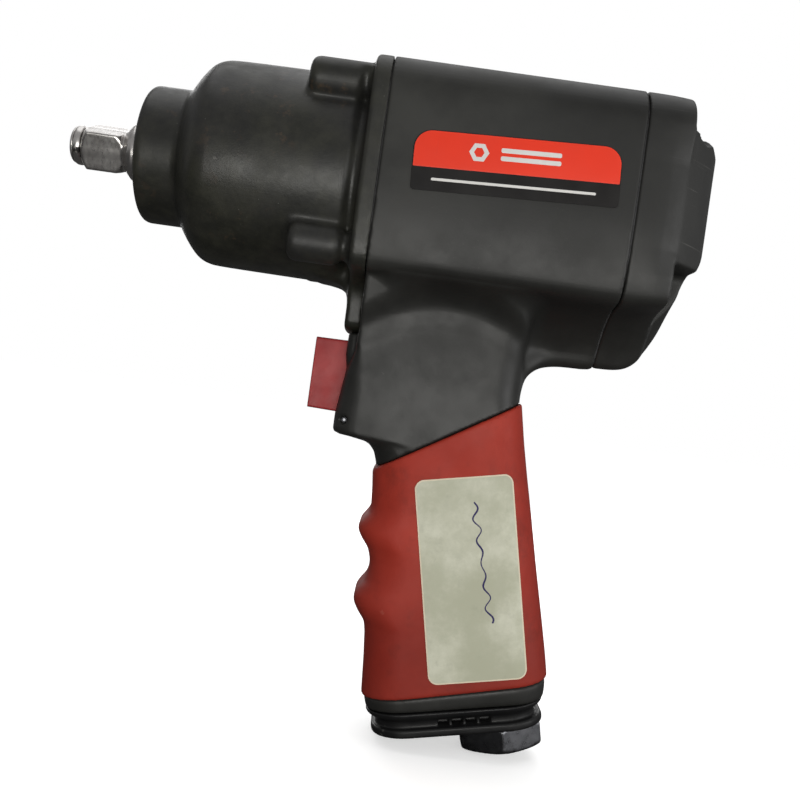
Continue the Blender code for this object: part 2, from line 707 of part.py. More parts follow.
def inlet():
    made = base_profile("inlet_bushing", [
        (-16.0, 8.2), (-15.2, 8.95), (4.6, 8.95), (4.9, 9.2), (15.3, 9.2)], INLET_U, 32)
    across = INLET_HEX / math.sqrt(3)
    rows = []
    for v, r in ((13.4, across - 0.6), (14.0, across), (21.1, across), (21.9, across - 0.9)):
        row = []
        for k in range(6):
            angle = math.radians(60 * k + 30)
            row.append(base_point(INLET_U + r * math.cos(angle), v, r * math.sin(angle)))
        rows.append(row)
    join(made, lofted("hex", rows))
    cut(made, base_profile("bore", [(-20, 5.2), (4.0, 5.2), (6.0, 6.0), (21.0, 6.4), (25, 8.0)],
                           INLET_U, 28))
    finish(made, NICKEL)
    profile = []
    for k in range(6):
        angle = math.tau * k / 6
        profile.append((-17.0 + 0.7 * math.cos(angle), 7.6 + 0.9 * math.sin(angle)))
    finish(base_profile("inlet_o_ring", profile, INLET_U, 18, True), RUBBER)
    finish(base_profile("inlet_screen", [
        (-12.0, 4.9), (3.0, 4.9), (3.0, 4.3), (-11.2, 4.3), (-11.2, 1.2), (-12.0, 1.2)],
        INLET_U, 16, True), NICKEL)


def base_outline(half_u, half_y, r):
    outline = []
    for cu, cy, first in ((half_u - r, half_y - r, 0), (-half_u + r, half_y - r, 90),
                          (-half_u + r, -half_y + r, 180), (half_u - r, -half_y + r, 270)):
        for k in range(5):
            angle = math.radians(first + 22.5 * k)
            outline.append((cu + r * math.cos(angle), cy + r * math.sin(angle)))
    return outline


def exhaust():
    outline = base_outline(29.2, 19.6, 13.5)
    made = base_block("exhaust_deflector", outline, [
        (5.1, 0), (6.6, 0), (7.9, 2.2), (8.2, 2.9), (10.2, 2.9), (10.5, 1.5), (12.5, 1.5),
        (13.1, 2.3)])
    hollow = base_outline(24.5, 14.8, 9.5)
    cut(made, base_block("hollow", hollow, [(4.0, 0), (10.9, 0)]))
    join(made, base_profile("hub", [(5.3, 11.6), (12.0, 11.6)], INLET_U, 32))
    cut(made, base_profile("hole", [(0, 9.5), (20, 9.5)], INLET_U, 32))
    window = [(-0.5, -30), (-0.5, -12), (-2.2, -12), (-2.2, -30)]
    for start in (-6.2, -1.8, 2.6, 7.0):
        window = [(start, -30), (start, -15), (start + 3.4, -15), (start + 3.4, -30)]
        cut(made, base_block("window", window, [(8.4, 0), (10.0, 0)]))
    for start in (-21.0, -16.0, -11.0, -6.0):
        slot = [(start, -10), (start, 10), (start + 2.4, 10), (start + 2.4, -10)]
        cut(made, base_block("slot", slot, [(9.8, 0), (16, 0)]))
    finish(made, BLACK)
    finish(base_block("exhaust_silencer", base_outline(11.3, 12.4, 2.0), [(-13.0, 0), (4.0, 0)]), FELT)
    silencer = bpy.data.objects["exhaust_silencer"]
    silencer.data.transform(Matrix.Translation(Vector(
        (-13.0 * math.cos(RAKE), 0, -13.0 * math.sin(RAKE))) * MM))


# ---------------------------------------------------------------- build

clear_scene()

CASE = material("case_paint", (0.045, 0.045, 0.04), 0.3, 0.42)
SHELL = material("shell_plastic", (0.04, 0.04, 0.039), 0.0, 0.5)
BLACK = material("black_plastic", (0.025, 0.025, 0.027), 0.0, 0.45)
GRIP = material("grip_rubber", (0.3, 0.04, 0.022), 0.0, 0.6)
TRIGGER = material("trigger_plastic", (0.4, 0.05, 0.05), 0.0, 0.4)
PLATE = material("plate_print", (0.75, 0.05, 0.03), 0.0, 0.35)
LABEL = material("label_paper", (0.5, 0.52, 0.42), 0.0, 0.6)
STEEL = material("bright_steel", (0.55, 0.54, 0.52), 1.0, 0.28)
NICKEL = material("dark_nickel", (0.2, 0.2, 0.22), 1.0, 0.35)
BRONZE = material("bronze", (0.5, 0.33, 0.16), 1.0, 0.4)
ALLOY = material("cast_alloy", (0.6, 0.6, 0.6), 1.0, 0.45)
RUBBER = material("seal_rubber", (0.02, 0.02, 0.02), 0.0, 0.6)
VANE = material("vane_resin", (0.12, 0.08, 0.05), 0.0, 0.6)
GASKET = material("gasket_paper", (0.05, 0.05, 0.055), 0.0, 0.8)
FELT = material("felt", (0.35, 0.34, 0.31), 0.0, 0.9)

anvil()
retainer()
hammer_case()
nose_bushing()
hammer_cage()
hammers()
end_plates()
cylinder()
rotor()
gasket("case_gasket", FRONT_SEAM - 0.22, FRONT_SEAM + 0.22, 0.0, 31.0)
gasket("rear_gasket", REAR_SEAM - 0.22, REAR_SEAM + 0.22, 1.0, 29.8)
motor_housing()
rear_cover()
reverse_control()
case_bolts()
name_plate()
grip()
grip_sticker()
trigger()
throttle()
inlet()
exhaust()
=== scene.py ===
"""Looks of the pneumatic impact wrench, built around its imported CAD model.

The moulded and cast pieces are distance fields, meshed on a fine grid, so that their blends and
edges are as round as the real ones. Sizes here are millimetres in the CAD frame: X runs along the
drive axis to the rear, Z is up, and the plate and label are on the -Y side.
"""

import json
import math

import bmesh
import bpy
import numpy as np
import openvdb
from mathutils import Matrix, Vector

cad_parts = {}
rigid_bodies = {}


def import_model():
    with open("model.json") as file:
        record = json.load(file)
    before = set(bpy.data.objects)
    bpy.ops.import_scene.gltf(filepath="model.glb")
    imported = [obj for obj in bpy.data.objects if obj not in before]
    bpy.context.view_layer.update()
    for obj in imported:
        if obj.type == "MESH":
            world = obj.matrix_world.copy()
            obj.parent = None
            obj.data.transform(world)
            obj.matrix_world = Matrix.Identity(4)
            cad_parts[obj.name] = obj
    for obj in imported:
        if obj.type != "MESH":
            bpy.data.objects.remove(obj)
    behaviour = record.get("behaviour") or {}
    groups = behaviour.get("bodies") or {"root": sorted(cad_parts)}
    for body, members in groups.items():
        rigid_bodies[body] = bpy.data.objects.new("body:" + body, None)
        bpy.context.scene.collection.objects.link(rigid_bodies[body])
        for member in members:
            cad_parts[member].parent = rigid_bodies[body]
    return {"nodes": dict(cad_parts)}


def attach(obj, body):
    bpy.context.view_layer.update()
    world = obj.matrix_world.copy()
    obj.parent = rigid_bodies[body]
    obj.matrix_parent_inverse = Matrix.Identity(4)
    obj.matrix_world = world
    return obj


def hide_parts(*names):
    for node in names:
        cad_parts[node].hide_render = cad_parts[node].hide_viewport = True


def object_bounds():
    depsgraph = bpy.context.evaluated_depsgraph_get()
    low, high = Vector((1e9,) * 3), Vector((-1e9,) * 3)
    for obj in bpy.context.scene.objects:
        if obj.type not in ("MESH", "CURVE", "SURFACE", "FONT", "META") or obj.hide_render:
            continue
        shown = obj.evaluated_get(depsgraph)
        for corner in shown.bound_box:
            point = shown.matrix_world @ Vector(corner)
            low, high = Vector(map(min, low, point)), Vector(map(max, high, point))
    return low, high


for startup in list(bpy.data.objects):
    bpy.data.objects.remove(startup, do_unlink=True)
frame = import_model()
CAD_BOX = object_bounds()

MM = 0.001
COARSE = 1.0
OUTSIDE = 3.0  # what a grid holds away from its surface

# Places along the drive axis
SQUARE_HALF = 6.35
CASE_FRONT = 25.7
SHOULDER = 39.4
FLANGE_FRONT = 97.4
FRONT_SEAM = 103.4
TONGUE_Z = -50.1
REAR_SEAM = 180.9
SEAT_X = 195.5
NOSE_R = 22.35
CASE_R = 33.45
CAVITY_R = 28.5
MOTOR_BORE_R = 30.0
BOLT_Y = 25.5
BOLT_Z = 25.2
BOLTS = [(y, z) for y in (-BOLT_Y, BOLT_Y) for z in (-BOLT_Z, BOLT_Z)]
KNOB_Z = 2.6
KNOB_R = 17.0
TRIGGER_Z = -64.2

# The raked base of the handle
RAKE = math.radians(12.0)
BASE_X = 149.45
BASE_Z = -158.45
INLET_U = 14.1
INLET_HEX = 26.0
FOOT_TILT = 0.035

# The grip's slanted top edge
EDGE_X = 114.3
EDGE_Z = -91.7
EDGE_RISE = 0.6154

# The pin across the chin
PIN_X = 102.6
PIN_Y = 15.6
PIN_Z = -78.0

# The name plate and the label
PLATE_Y = -35.25
PLATE_X = (113.0, 175.0)
PLATE_Z = (-5.6, 12.5)
PLATE_SPLIT = 1.4
PLATE_MIDDLE = (144.0, 3.4)
PLATE_TURN = math.radians(2.7)
NUT_MIDDLE = (132.5, 7.0)
NUT_R = 3.0
LABEL_X = 149.0
LABEL_Z = -121.7
LABEL_HALF = (15.5, 32.0)

# The studio
CAMERA_PLACE = (0.1193, -0.3167, -0.06935)
CAMERA_LENS = 42.75
CAMERA_LEAN = math.radians(8.0)
WORLD_ON_PIECES = 0.28
WORLD_SEEN = 1.0


# ---------------------------------------------------------------- distance fields

class Grid:
    """Open coordinate arrays of a box of space, in millimetres."""

    def __init__(self, low, high, pitch):
        self.pitch = pitch * COARSE
        self.low = np.array(low, float)
        counts = [int(math.ceil((b - a) / self.pitch)) + 1 for a, b in zip(low, high)]
        self.shape = tuple(counts)
        lines = [a + self.pitch * np.arange(n) for a, n in zip(low, counts)]
        self.x = lines[0].astype(np.float32)[:, None, None]
        self.y = lines[1].astype(np.float32)[None, :, None]
        self.z = lines[2].astype(np.float32)[None, None, :]

    def base(self):
        """The raked coordinates: u to the rear along the base, v down the handle's axis."""
        dx = self.x - BASE_X
        dz = self.z - BASE_Z
        u = dx * math.cos(RAKE) + dz * math.sin(RAKE)
        v = dx * math.sin(RAKE) - dz * math.cos(RAKE)
        return u, v


def join(a, b, k=0.0):
    """Union of two fields, with a fillet about k wide."""
    if np.max(k) <= 0:
        return np.minimum(a, b)
    h = np.clip(0.5 + 0.5 * (b - a) / k, 0, 1)
    return b + (a - b) * h - k * h * (1 - h)


def keep(a, b, k=0.0):
    """Intersection, with an edge rounded about k wide."""
    return -join(-a, -b, k)


def cut(a, b, k=0.0):
    """The first field without the second."""
    return keep(a, -b, k)


def slab(value, low, high):
    return np.maximum(low - value, value - high)


def polygon(px, py, outline):
    """Signed distance to a closed outline."""
    best = None
    inside = None
    for (ax, ay), (bx, by) in zip(outline, outline[1:] + outline[:1]):
        ex = bx - ax
        ey = by - ay
        wx = px - ax
        wy = py - ay
        t = np.clip((wx * ex + wy * ey) / max(ex * ex + ey * ey, 1e-9), 0, 1)
        near = (wx - t * ex) ** 2 + (wy - t * ey) ** 2
        crosses = ((py >= ay) != (py >= by)) & (px < ax + (py - ay) * ex / (ey or 1.0))
        best = near if best is None else np.minimum(best, near)
        inside = crosses if inside is None else inside ^ crosses
    return np.where(inside, -1.0, 1.0).astype(np.float32) * np.sqrt(best).astype(np.float32)


def soften(outline, rounds=3):
    """Cuts an outline's corners, so that it runs in smooth curves."""
    for _ in range(rounds):
        finer = []
        for (ax, ay), (bx, by) in zip(outline, outline[1:] + outline[:1]):
            finer.append((0.75 * ax + 0.25 * bx, 0.75 * ay + 0.25 * by))
            finer.append((0.25 * ax + 0.75 * bx, 0.25 * ay + 0.75 * by))
        outline = finer
    return outline


def revolved(grid, profile, centre=(0.0, 0.0)):
    """The field of a closed (x, r) profile turned about an X axis."""
    radius = np.hypot(grid.y - centre[0], grid.z - centre[1])[0]
    reach = np.arange(0.0, float(radius.max()) + 1.0, grid.pitch / 2, dtype=np.float32)
    table = polygon(grid.x[:, :, 0], reach[None, :], profile)
    field = np.empty(grid.shape, np.float32)
    for k in range(grid.shape[0]):
        field[k] = np.interp(radius, reach, table[k])
    return field


def rod(grid, x0, x1, r, centre=(0.0, 0.0)):
    radius = np.hypot(grid.y - centre[0], grid.z - centre[1])
    return np.maximum(radius - r, slab(grid.x, x0, x1))


def raked_rod(grid, r, low, high):
    """A rod down the handle, in line with the inlet."""
    u, v = grid.base()
    radius = np.sqrt((u - INLET_U) ** 2 + grid.y ** 2)
    return np.maximum(radius - r, slab(v, low, high))


def cornered(px, py, half_x, half_y, r):
    """A rectangle with round corners, from distances out of its middle."""
    qx = px - half_x + r
    qy = py - half_y + r
    return np.hypot(np.maximum(qx, 0), np.maximum(qy, 0)) + np.minimum(np.maximum(qx, qy), 0) - r


def block(px, py, half_x, half_y, r):
    """A rectangle with round corners about the zero of px and py."""
    return cornered(np.abs(px), np.abs(py), half_x, half_y, r)


def eased(table, width=1.0):
    """A function through (key, value) points, rounded over about width."""
    keys = np.array([k for k, _ in table], float)
    values = np.array([v for _, v in table], float)
    if keys[0] > keys[-1]:
        keys = keys[::-1]
        values = values[::-1]
    step = 0.1
    fine = np.arange(keys[0] - 6 * width, keys[-1] + 6 * width, step)
    line = np.interp(fine, keys, values)
    kernel = np.exp(-0.5 * (np.arange(-3 * width, 3 * width + step, step) / width) ** 2)
    smooth = np.convolve(np.pad(line, len(kernel) // 2, mode="edge"), kernel / kernel.sum(), "valid")
    fine = fine[: len(smooth)]
    return lambda value: np.interp(value, fine, smooth[: len(fine)]).astype(np.float32)


# ---------------------------------------------------------------- meshes

def hang(obj, body, replaces):
    """Puts a finished piece on its body, in place of its CAD nodes where it has any."""
    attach(obj, body)
    if replaces:
        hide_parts(*replaces)
    return obj


def link(name, mesh, material):
    obj = bpy.data.objects.new(name, mesh)
    bpy.context.scene.collection.objects.link(obj)
    mesh.materials.append(material)
    return obj


def meshed(name, grid, field, material):
    """A mesh of the field's surface, shaded smooth."""
    field = np.array(np.broadcast_to(field, grid.shape), dtype=np.float32, order="C")
    volume = openvdb.FloatGrid(OUTSIDE)
    volume.copyFromArray(field)
    points, quads = volume.convertToQuads(isovalue=0.0)
    points = (grid.low + points * grid.pitch) * MM
    mesh = bpy.data.meshes.new(name)
    mesh.from_pydata(points.tolist(), [], quads.tolist())
    work = bmesh.new()
    work.from_mesh(mesh)
    if work.calc_volume(signed=True) < 0:
        bmesh.ops.reverse_faces(work, faces=work.faces)
    work.to_mesh(mesh)
    work.free()
    mesh.polygons.foreach_set("use_smooth", [True] * len(mesh.polygons))
    return link(name, mesh, material)


def shaped(name, work, material, smooth=True, sharp=35):
    """An object from a finished bmesh, smooth but for edges sharper than an angle."""
    bmesh.ops.recalc_face_normals(work, faces=work.faces)
    mesh = bpy.data.meshes.new(name)
    work.to_mesh(mesh)
    work.free()
    if smooth:
        mesh.polygons.foreach_set("use_smooth", [True] * len(mesh.polygons))
        mesh.set_sharp_from_angle(angle=math.radians(sharp))
    return link(name, mesh, material)


def lofted(name, rows, material, closed=False, smooth=True):
    """Joins rows of points. An open loft is capped at both ends."""
    count = len(rows[0])
    work = bmesh.new()
    verts = [[work.verts.new([c * MM for c in point]) for point in row] for row in rows]
    spans = len(rows) if closed else len(rows) - 1
    for k in range(spans):
        above = verts[k]
        below = verts[(k + 1) % len(rows)]
        for j in range(count):
            work.faces.new((above[j], above[(j + 1) % count], below[(j + 1) % count], below[j]))
    if not closed:
        work.faces.new(verts[0])
        work.faces.new(verts[-1])
    return shaped(name, work, material, smooth)


def circle(x, reach, centre, steps):
    """Points round an X axis, where reach gives the radius at an angle."""
    row = []
    for k in range(steps):
        angle = math.tau * k / steps
        r = reach(angle)
        row.append((x, centre[0] + r * math.cos(angle), centre[1] + r * math.sin(angle)))
    return row


# ---------------------------------------------------------------- materials

class Graph:
    """Short names for building one material's nodes. Texture scales are per metre."""

    def __init__(self, name):
        self.material = bpy.data.materials.new(name)
        self.material.use_nodes = True
        self.tree = self.material.node_tree
        self.shader = self.tree.nodes["Principled BSDF"]
        self.place = self.tree.nodes.new("ShaderNodeTexCoord").outputs["Object"]

    def add(self, kind, inputs=None, **settings):
        node = self.tree.nodes.new(kind)
        for key, value in settings.items():
            setattr(node, key, value)
        for key, value in (inputs or {}).items():
            if isinstance(value, bpy.types.NodeSocket):
                self.tree.links.new(value, node.inputs[key])
            else:
                node.inputs[key].default_value = value
        return node

    def set(self, **inputs):
        for key, value in inputs.items():
            socket = self.shader.inputs[key.replace("_", " ")]
            if isinstance(value, bpy.types.NodeSocket):
                self.tree.links.new(value, socket)
            else:
                socket.default_value = value

    def stretched(self, scale, turn=(0, 0, 0)):
        return self.add("ShaderNodeMapping", {
            "Vector": self.place, "Scale": scale, "Rotation": turn}).outputs[0]

    def noise(self, scale, detail=4.0, rough=0.55, vector=None):
        return self.add("ShaderNodeTexNoise", {
            "Vector": vector or self.place, "Scale": scale, "Detail": detail,
            "Roughness": rough}).outputs["Fac"]

    def cells(self, scale, randomness=1.0):
        return self.add("ShaderNodeTexVoronoi", {
            "Vector": self.place, "Scale": scale, "Randomness": randomness}).outputs["Distance"]

    def ramp(self, value, low, high, bottom=0.0, top=1.0):
        """Maps low..high to bottom..top, and holds both ends."""
        return self.add("ShaderNodeMapRange", {
            "Value": value, "From Min": low, "From Max": high, "To Min": bottom, "To Max": top},
            clamp=True, interpolation_type="SMOOTHSTEP").outputs["Result"]

    def math(self, operation, a, b):
        return self.add("ShaderNodeMath", {0: a, 1: b}, operation=operation).outputs[0]

    def mix(self, share, a, b):
        node = self.add("ShaderNodeMix", data_type="RGBA")
        for index, value in ((0, share), (6, a), (7, b)):
            if isinstance(value, bpy.types.NodeSocket):
                self.tree.links.new(value, node.inputs[index])
            else:
                node.inputs[index].default_value = value
        return node.outputs[2]

    def bump(self, height, strength, distance, under=None):
        inputs = {"Height": height, "Strength": strength, "Distance": distance}
        if under is not None:
            inputs["Normal"] = under
        return self.add("ShaderNodeBump", inputs).outputs["Normal"]

    def edges(self, low=0.52, high=0.6):
        """Where the surface turns sharply outwards."""
        worn = self.add("ShaderNodeNewGeometry").outputs["Pointiness"]
        return self.ramp(worn, low, high)


def rgb(r, g, b):
    return (r, g, b, 1.0)


def dark_plastic(name, low, high, scuffs=0.5, rough=(0.4, 0.56), grain=0.16, gleam=0.4):
    """Moulded composite: fine spark texture, patchy gloss, dust and faint scratches."""
    g = Graph(name)
    patches = g.ramp(g.noise(22, 6, 0.6), 0.36, 0.68)
    colour = g.mix(patches, low, high)
    dust = g.ramp(g.noise(1500, 3, 0.7), 0.66, 0.8)
    dusty = g.math("MULTIPLY", dust, g.ramp(g.noise(34, 4, 0.6), 0.42, 0.7, 0.0, 0.45))
    haze = g.math("MULTIPLY", g.ramp(g.noise(12, 6, 0.68), 0.5, 0.72), 0.16)
    colour = g.mix(haze, colour, rgb(0.075, 0.075, 0.064))
    colour = g.mix(dusty, colour, rgb(0.2, 0.19, 0.17))
    lines = g.noise(1, 2, 0.5, g.stretched((26, 26, 1500), (0, 0.5, 0.3)))
    where = g.ramp(g.noise(17, 3, 0.5), 0.54, 0.68)
    scratched = g.math("MULTIPLY", g.ramp(lines, 0.71, 0.78), where)
    colour = g.mix(g.math("MULTIPLY", scratched, scuffs), colour, rgb(0.22, 0.215, 0.2))
    chips = g.math("MULTIPLY", g.edges(0.56, 0.66),
                   g.ramp(g.noise(260, 4, 0.65), 0.5, 0.64, 0.0, 0.45))
    colour = g.mix(chips, colour, rgb(0.19, 0.185, 0.17))
    gloss = g.ramp(g.noise(48, 7, 0.66), 0.3, 0.72, rough[0], rough[1])
    spark = g.bump(g.noise(2600, 3, 0.6), grain, 0.00006)
    g.set(Base_Color=colour, Roughness=g.math("ADD", gloss, g.math("MULTIPLY", scratched, 0.1)),
          Normal=g.bump(g.noise(90, 3, 0.5), 0.04, 0.0004, spark), Specular_IOR_Level=gleam)
    return g.material


def case_paint():
    """Thin dark paint on a casting: mottled, oily, with brown spots and bright rubs."""
    g = Graph("case_paint")
    mottled = g.ramp(g.noise(120, 8, 0.7), 0.34, 0.68)
    colour = g.mix(mottled, rgb(0.014, 0.0145, 0.011), rgb(0.029, 0.029, 0.021))
    oily = g.ramp(g.noise(28, 5, 0.6), 0.4, 0.7)
    colour = g.mix(g.math("MULTIPLY", oily, 0.4), colour, rgb(0.018, 0.017, 0.022))
    rust = g.math("MULTIPLY", g.ramp(g.noise(110, 6, 0.74), 0.56, 0.68),
                  g.ramp(g.noise(20, 2, 0.5), 0.47, 0.6, 0, 0.75))
    colour = g.mix(rust, colour, rgb(0.062, 0.042, 0.026))
    specks = g.ramp(g.cells(420), 0.03, 0.09, 0.5, 0.0)
    specks = g.math("MULTIPLY", specks, g.ramp(g.noise(60, 3, 0.6), 0.5, 0.64))
    colour = g.mix(specks, colour, rgb(0.2, 0.2, 0.18))
    rubbed = g.math("MULTIPLY", g.edges(0.535, 0.62), g.ramp(g.noise(230, 6, 0.7), 0.42, 0.62))
    colour = g.mix(g.math("MULTIPLY", rubbed, 0.55), colour, rgb(0.24, 0.235, 0.22))
    gloss = g.ramp(g.noise(70, 7, 0.68), 0.3, 0.7, 0.34, 0.52)
    cast = g.bump(g.noise(750, 5, 0.65), 0.22, 0.00018)
    g.set(Base_Color=colour, Roughness=gloss, Metallic=g.math("MULTIPLY", rubbed, 0.5),
          Normal=g.bump(g.noise(160, 4, 0.6), 0.1, 0.0005, cast), Specular_IOR_Level=0.42)
    return g.material


def grip_rubber():
    """Moulded red rubber: matt, rubbed smooth and dark with dirt where the hand goes, with painted shade
    darkening it towards the bottom.
    """
    g = Graph("grip_rubber")
    tone = g.ramp(g.noise(26, 5, 0.6), 0.34, 0.7)
    colour = g.mix(tone, rgb(0.3, 0.024, 0.013), rgb(0.4, 0.038, 0.022))
    dirt = g.ramp(g.noise(64, 7, 0.7), 0.5, 0.74, 0.0, 0.5)
    colour = g.mix(dirt, colour, rgb(0.115, 0.017, 0.012))
    # Painted shade: the colour darkens towards the grip's bottom, as if less light reached it there,
    # broken up a little by noise.
    height = g.add("ShaderNodeSeparateXYZ", {0: g.place}).outputs["Z"]
    painted_shade_and_grime = g.math("MULTIPLY", g.ramp(height, -0.1, -0.15, 0.0, 0.65),
                   g.ramp(g.noise(38, 6, 0.62), 0.3, 0.7, 0.6, 1.0))
    colour = g.mix(painted_shade_and_grime, colour, rgb(0.15, 0.014, 0.009))
    worn = g.math("MULTIPLY", g.edges(0.53, 0.6),
                  g.ramp(g.noise(180, 5, 0.65), 0.4, 0.66, 0.0, 0.35))
    colour = g.mix(worn, colour, rgb(0.4, 0.11, 0.08))
    skin = g.bump(g.noise(1900, 4, 0.62), 0.2, 0.00009)
    g.set(Base_Color=colour, Roughness=g.ramp(g.noise(85, 6, 0.6), 0.3, 0.72, 0.52, 0.68),
          Normal=g.bump(g.noise(130, 3, 0.5), 0.06, 0.0004, skin), Specular_IOR_Level=0.25)
    return g.material


def trigger_plastic():
    """Red button plastic, dirty along its edges."""
    g = Graph("trigger_plastic")
    tone = g.ramp(g.noise(70, 6, 0.6), 0.36, 0.68)
    colour = g.mix(tone, rgb(0.31, 0.026, 0.028), rgb(0.41, 0.044, 0.044))
    painted_shade_and_grime = g.math("MULTIPLY", g.edges(0.53, 0.61),
                   g.ramp(g.noise(300, 5, 0.6), 0.36, 0.6, 0.2, 0.85))
    colour = g.mix(painted_shade_and_grime, colour, rgb(0.09, 0.014, 0.016))
    g.set(Base_Color=colour, Roughness=g.ramp(g.noise(150, 5, 0.6), 0.3, 0.7, 0.34, 0.5),
          Normal=g.bump(g.noise(1400, 3, 0.6), 0.08, 0.00008), Specular_IOR_Level=0.22)
    return g.material


def print_film(name, colour, mark, rough=0.34):
    """Glossy printed film with fine handling marks."""
    g = Graph(name)
    rubs = g.ramp(g.noise(1, 3, 0.6, g.stretched((500, 500, 60), (0, 0.2, 0))), 0.62, 0.8, 0.0, 0.22)
    tone = g.mix(g.ramp(g.noise(60, 5, 0.6), 0.35, 0.7, 0.0, 0.25), colour, mark)
    g.set(Base_Color=g.mix(rubs, tone, mark),
          Roughness=g.ramp(g.noise(110, 6, 0.6), 0.3, 0.7, rough, rough + 0.12),
          Normal=g.bump(g.noise(320, 3, 0.5), 0.05, 0.00012), Specular_IOR_Level=0.25)
    return g.material


def label_paper():
    """Coated paper, yellowed and handled."""
    g = Graph("label_paper")
    stain = g.ramp(g.noise(42, 7, 0.68), 0.38, 0.72)
    colour = g.mix(stain, rgb(0.4, 0.405, 0.3), rgb(0.6, 0.6, 0.49))
    finger = g.math("MULTIPLY", g.ramp(g.noise(150, 6, 0.7), 0.56, 0.72), 0.35)
    colour = g.mix(finger, colour, rgb(0.31, 0.31, 0.24))
    streak = g.ramp(g.noise(1, 4, 0.6, g.stretched((700, 700, 70), (0, -RAKE, 0))),
                    0.66, 0.78, 0.0, 0.4)
    streak = g.math("MULTIPLY", streak, g.ramp(g.noise(40, 2, 0.5), 0.5, 0.64))
    colour = g.mix(streak, colour, rgb(0.2, 0.2, 0.17))
    g.set(Base_Color=colour, Roughness=g.ramp(g.noise(90, 5, 0.6), 0.3, 0.7, 0.42, 0.6),
          Normal=g.bump(g.noise(900, 4, 0.6), 0.1, 0.00008))
    return g.material


def metal(name, low, high, rough, scratch=0.14, grain=(900, 900, 60), stain=None):
    """Machined metal: tonal patches, tool marks along one way, and dark oil in places."""
    g = Graph(name)
    colour = g.mix(g.ramp(g.noise(90, 6, 0.62), 0.34, 0.7), low, high)
    if stain:
        colour = g.mix(g.ramp(g.noise(140, 6, 0.7), 0.52, 0.7, 0.0, 0.7), colour, stain)
    marks = g.noise(1, 4, 0.6, g.stretched(grain))
    g.set(Base_Color=colour, Metallic=1.0,
          Roughness=g.ramp(marks, 0.3, 0.7, rough[0], rough[1]),
          Normal=g.bump(marks, scratch, 0.00005, g.bump(g.noise(240, 4, 0.6), 0.05, 0.0002)))
    return g.material


def plain_soft(name, low, high, scale, rough, strength=0.3):
    """Felt, gaskets, seals and resin: a fibrous or grainy matt surface."""
    g = Graph(name)
    colour = g.mix(g.ramp(g.noise(scale, 6, 0.65), 0.3, 0.7), low, high)
    g.set(Base_Color=colour, Roughness=rough,
          Normal=g.bump(g.noise(scale * 2, 5, 0.7), strength, 0.0001))
    return g.material


SHELL = dark_plastic("shell_plastic", rgb(0.0125, 0.0125, 0.0115), rgb(0.021, 0.021, 0.0195))
BLACK = dark_plastic("black_plastic", rgb(0.006, 0.006, 0.0065), rgb(0.011, 0.011, 0.0115), 0.4,
                     (0.3, 0.5), 0.12, 0.25)
CASE = case_paint()
GRIP = grip_rubber()
TRIGGER = trigger_plastic()
RED_FILM = print_film("red_film", rgb(0.86, 0.05, 0.022), rgb(0.7, 0.05, 0.03))
BLACK_FILM = print_film("black_film", rgb(0.009, 0.008, 0.008), rgb(0.03, 0.028, 0.026))
WHITE_INK = print_film("white_ink", rgb(0.74, 0.73, 0.71), rgb(0.6, 0.59, 0.57))
BLUE_INK = print_film("blue_ink", rgb(0.022, 0.016, 0.09), rgb(0.05, 0.04, 0.14), 0.5)
LABEL = label_paper()
LABEL_EDGE = plain_soft("label_edge", rgb(0.62, 0.54, 0.4), rgb(0.7, 0.62, 0.48), 300, 0.6)
STEEL = metal("bright_steel", rgb(0.6, 0.575, 0.56), rgb(0.76, 0.74, 0.72), (0.26, 0.34), 0.02,
              stain=rgb(0.42, 0.39, 0.37))
MACHINED = metal("machined_steel", rgb(0.33, 0.32, 0.31), rgb(0.48, 0.47, 0.46), (0.22, 0.4), 0.2,
                 stain=rgb(0.12, 0.1, 0.08))
NICKEL = metal("dark_nickel", rgb(0.13, 0.132, 0.142), rgb(0.21, 0.212, 0.224), (0.26, 0.34), 0.05,
               grain=(420, 420, 420), stain=rgb(0.06, 0.06, 0.063))
BLACK_OXIDE = metal("black_oxide", rgb(0.05, 0.05, 0.052), rgb(0.1, 0.1, 0.1), (0.3, 0.46), 0.1)
BRONZE = metal("bronze", rgb(0.42, 0.26, 0.11), rgb(0.56, 0.37, 0.18), (0.24, 0.42), 0.2)
ALLOY = metal("cast_alloy", rgb(0.5, 0.5, 0.5), rgb(0.66, 0.66, 0.66), (0.3, 0.5), 0.25)
RUBBER = plain_soft("seal_rubber", rgb(0.012, 0.012, 0.012), rgb(0.03, 0.03, 0.03), 700, 0.55, 0.15)
VANE = plain_soft("vane_resin", rgb(0.1, 0.065, 0.04), rgb(0.17, 0.115, 0.07), 800, 0.55)
GASKET = plain_soft("gasket_paper", rgb(0.025, 0.025, 0.027), rgb(0.055, 0.055, 0.058), 900, 0.85)
FELT = plain_soft("felt", rgb(0.22, 0.21, 0.18), rgb(0.42, 0.41, 0.37), 1400, 0.95, 0.6)


# ---------------------------------------------------------------- outlines

def housing_outline(wedge):
    """The (y, z) section of the body: wedge 0 is the front tongue, 1 the rear keel."""
    half = [(0, 34.75), (12, 34.75), (22, 34.7)]
    for step in range(6):
        turn = math.radians(75 - 15 * step)
        half.append((23.4 + 12 * math.cos(turn), 23.0 + 12 * math.sin(turn)))
    half += [(35.4, 18.0), (35.2, 8.0), (35.2, -6.0), (34.9, -14.0), (34.3, -21.0), (33.5, -26.4),
             (32.6, -29.2), (30.6, -31.2), (27.6, -32.0)]
    tongue = [(23, -32.5), (18, -33.3), (14.0, -35.2), (12.3, -39.0), (12.0, -44.0), (11.4, -48.0),
              (8.5, -49.6)]
    keel = [(23, -32.8), (19, -33.8), (15.0, -35.6), (10.6, -38.8), (7.0, -42.6), (4.4, -46.4),
            (2.6, -49.4)]
    for (y0, z0), (y1, z1) in zip(tongue, keel):
        half.append((y0 + (y1 - y0) * wedge, z0 + (z1 - z0) * wedge))
    half.append((0, -49.8 - 0.9 * wedge))
    return soften(half + [(-y, z) for y, z in reversed(half[1:-1])], 2)


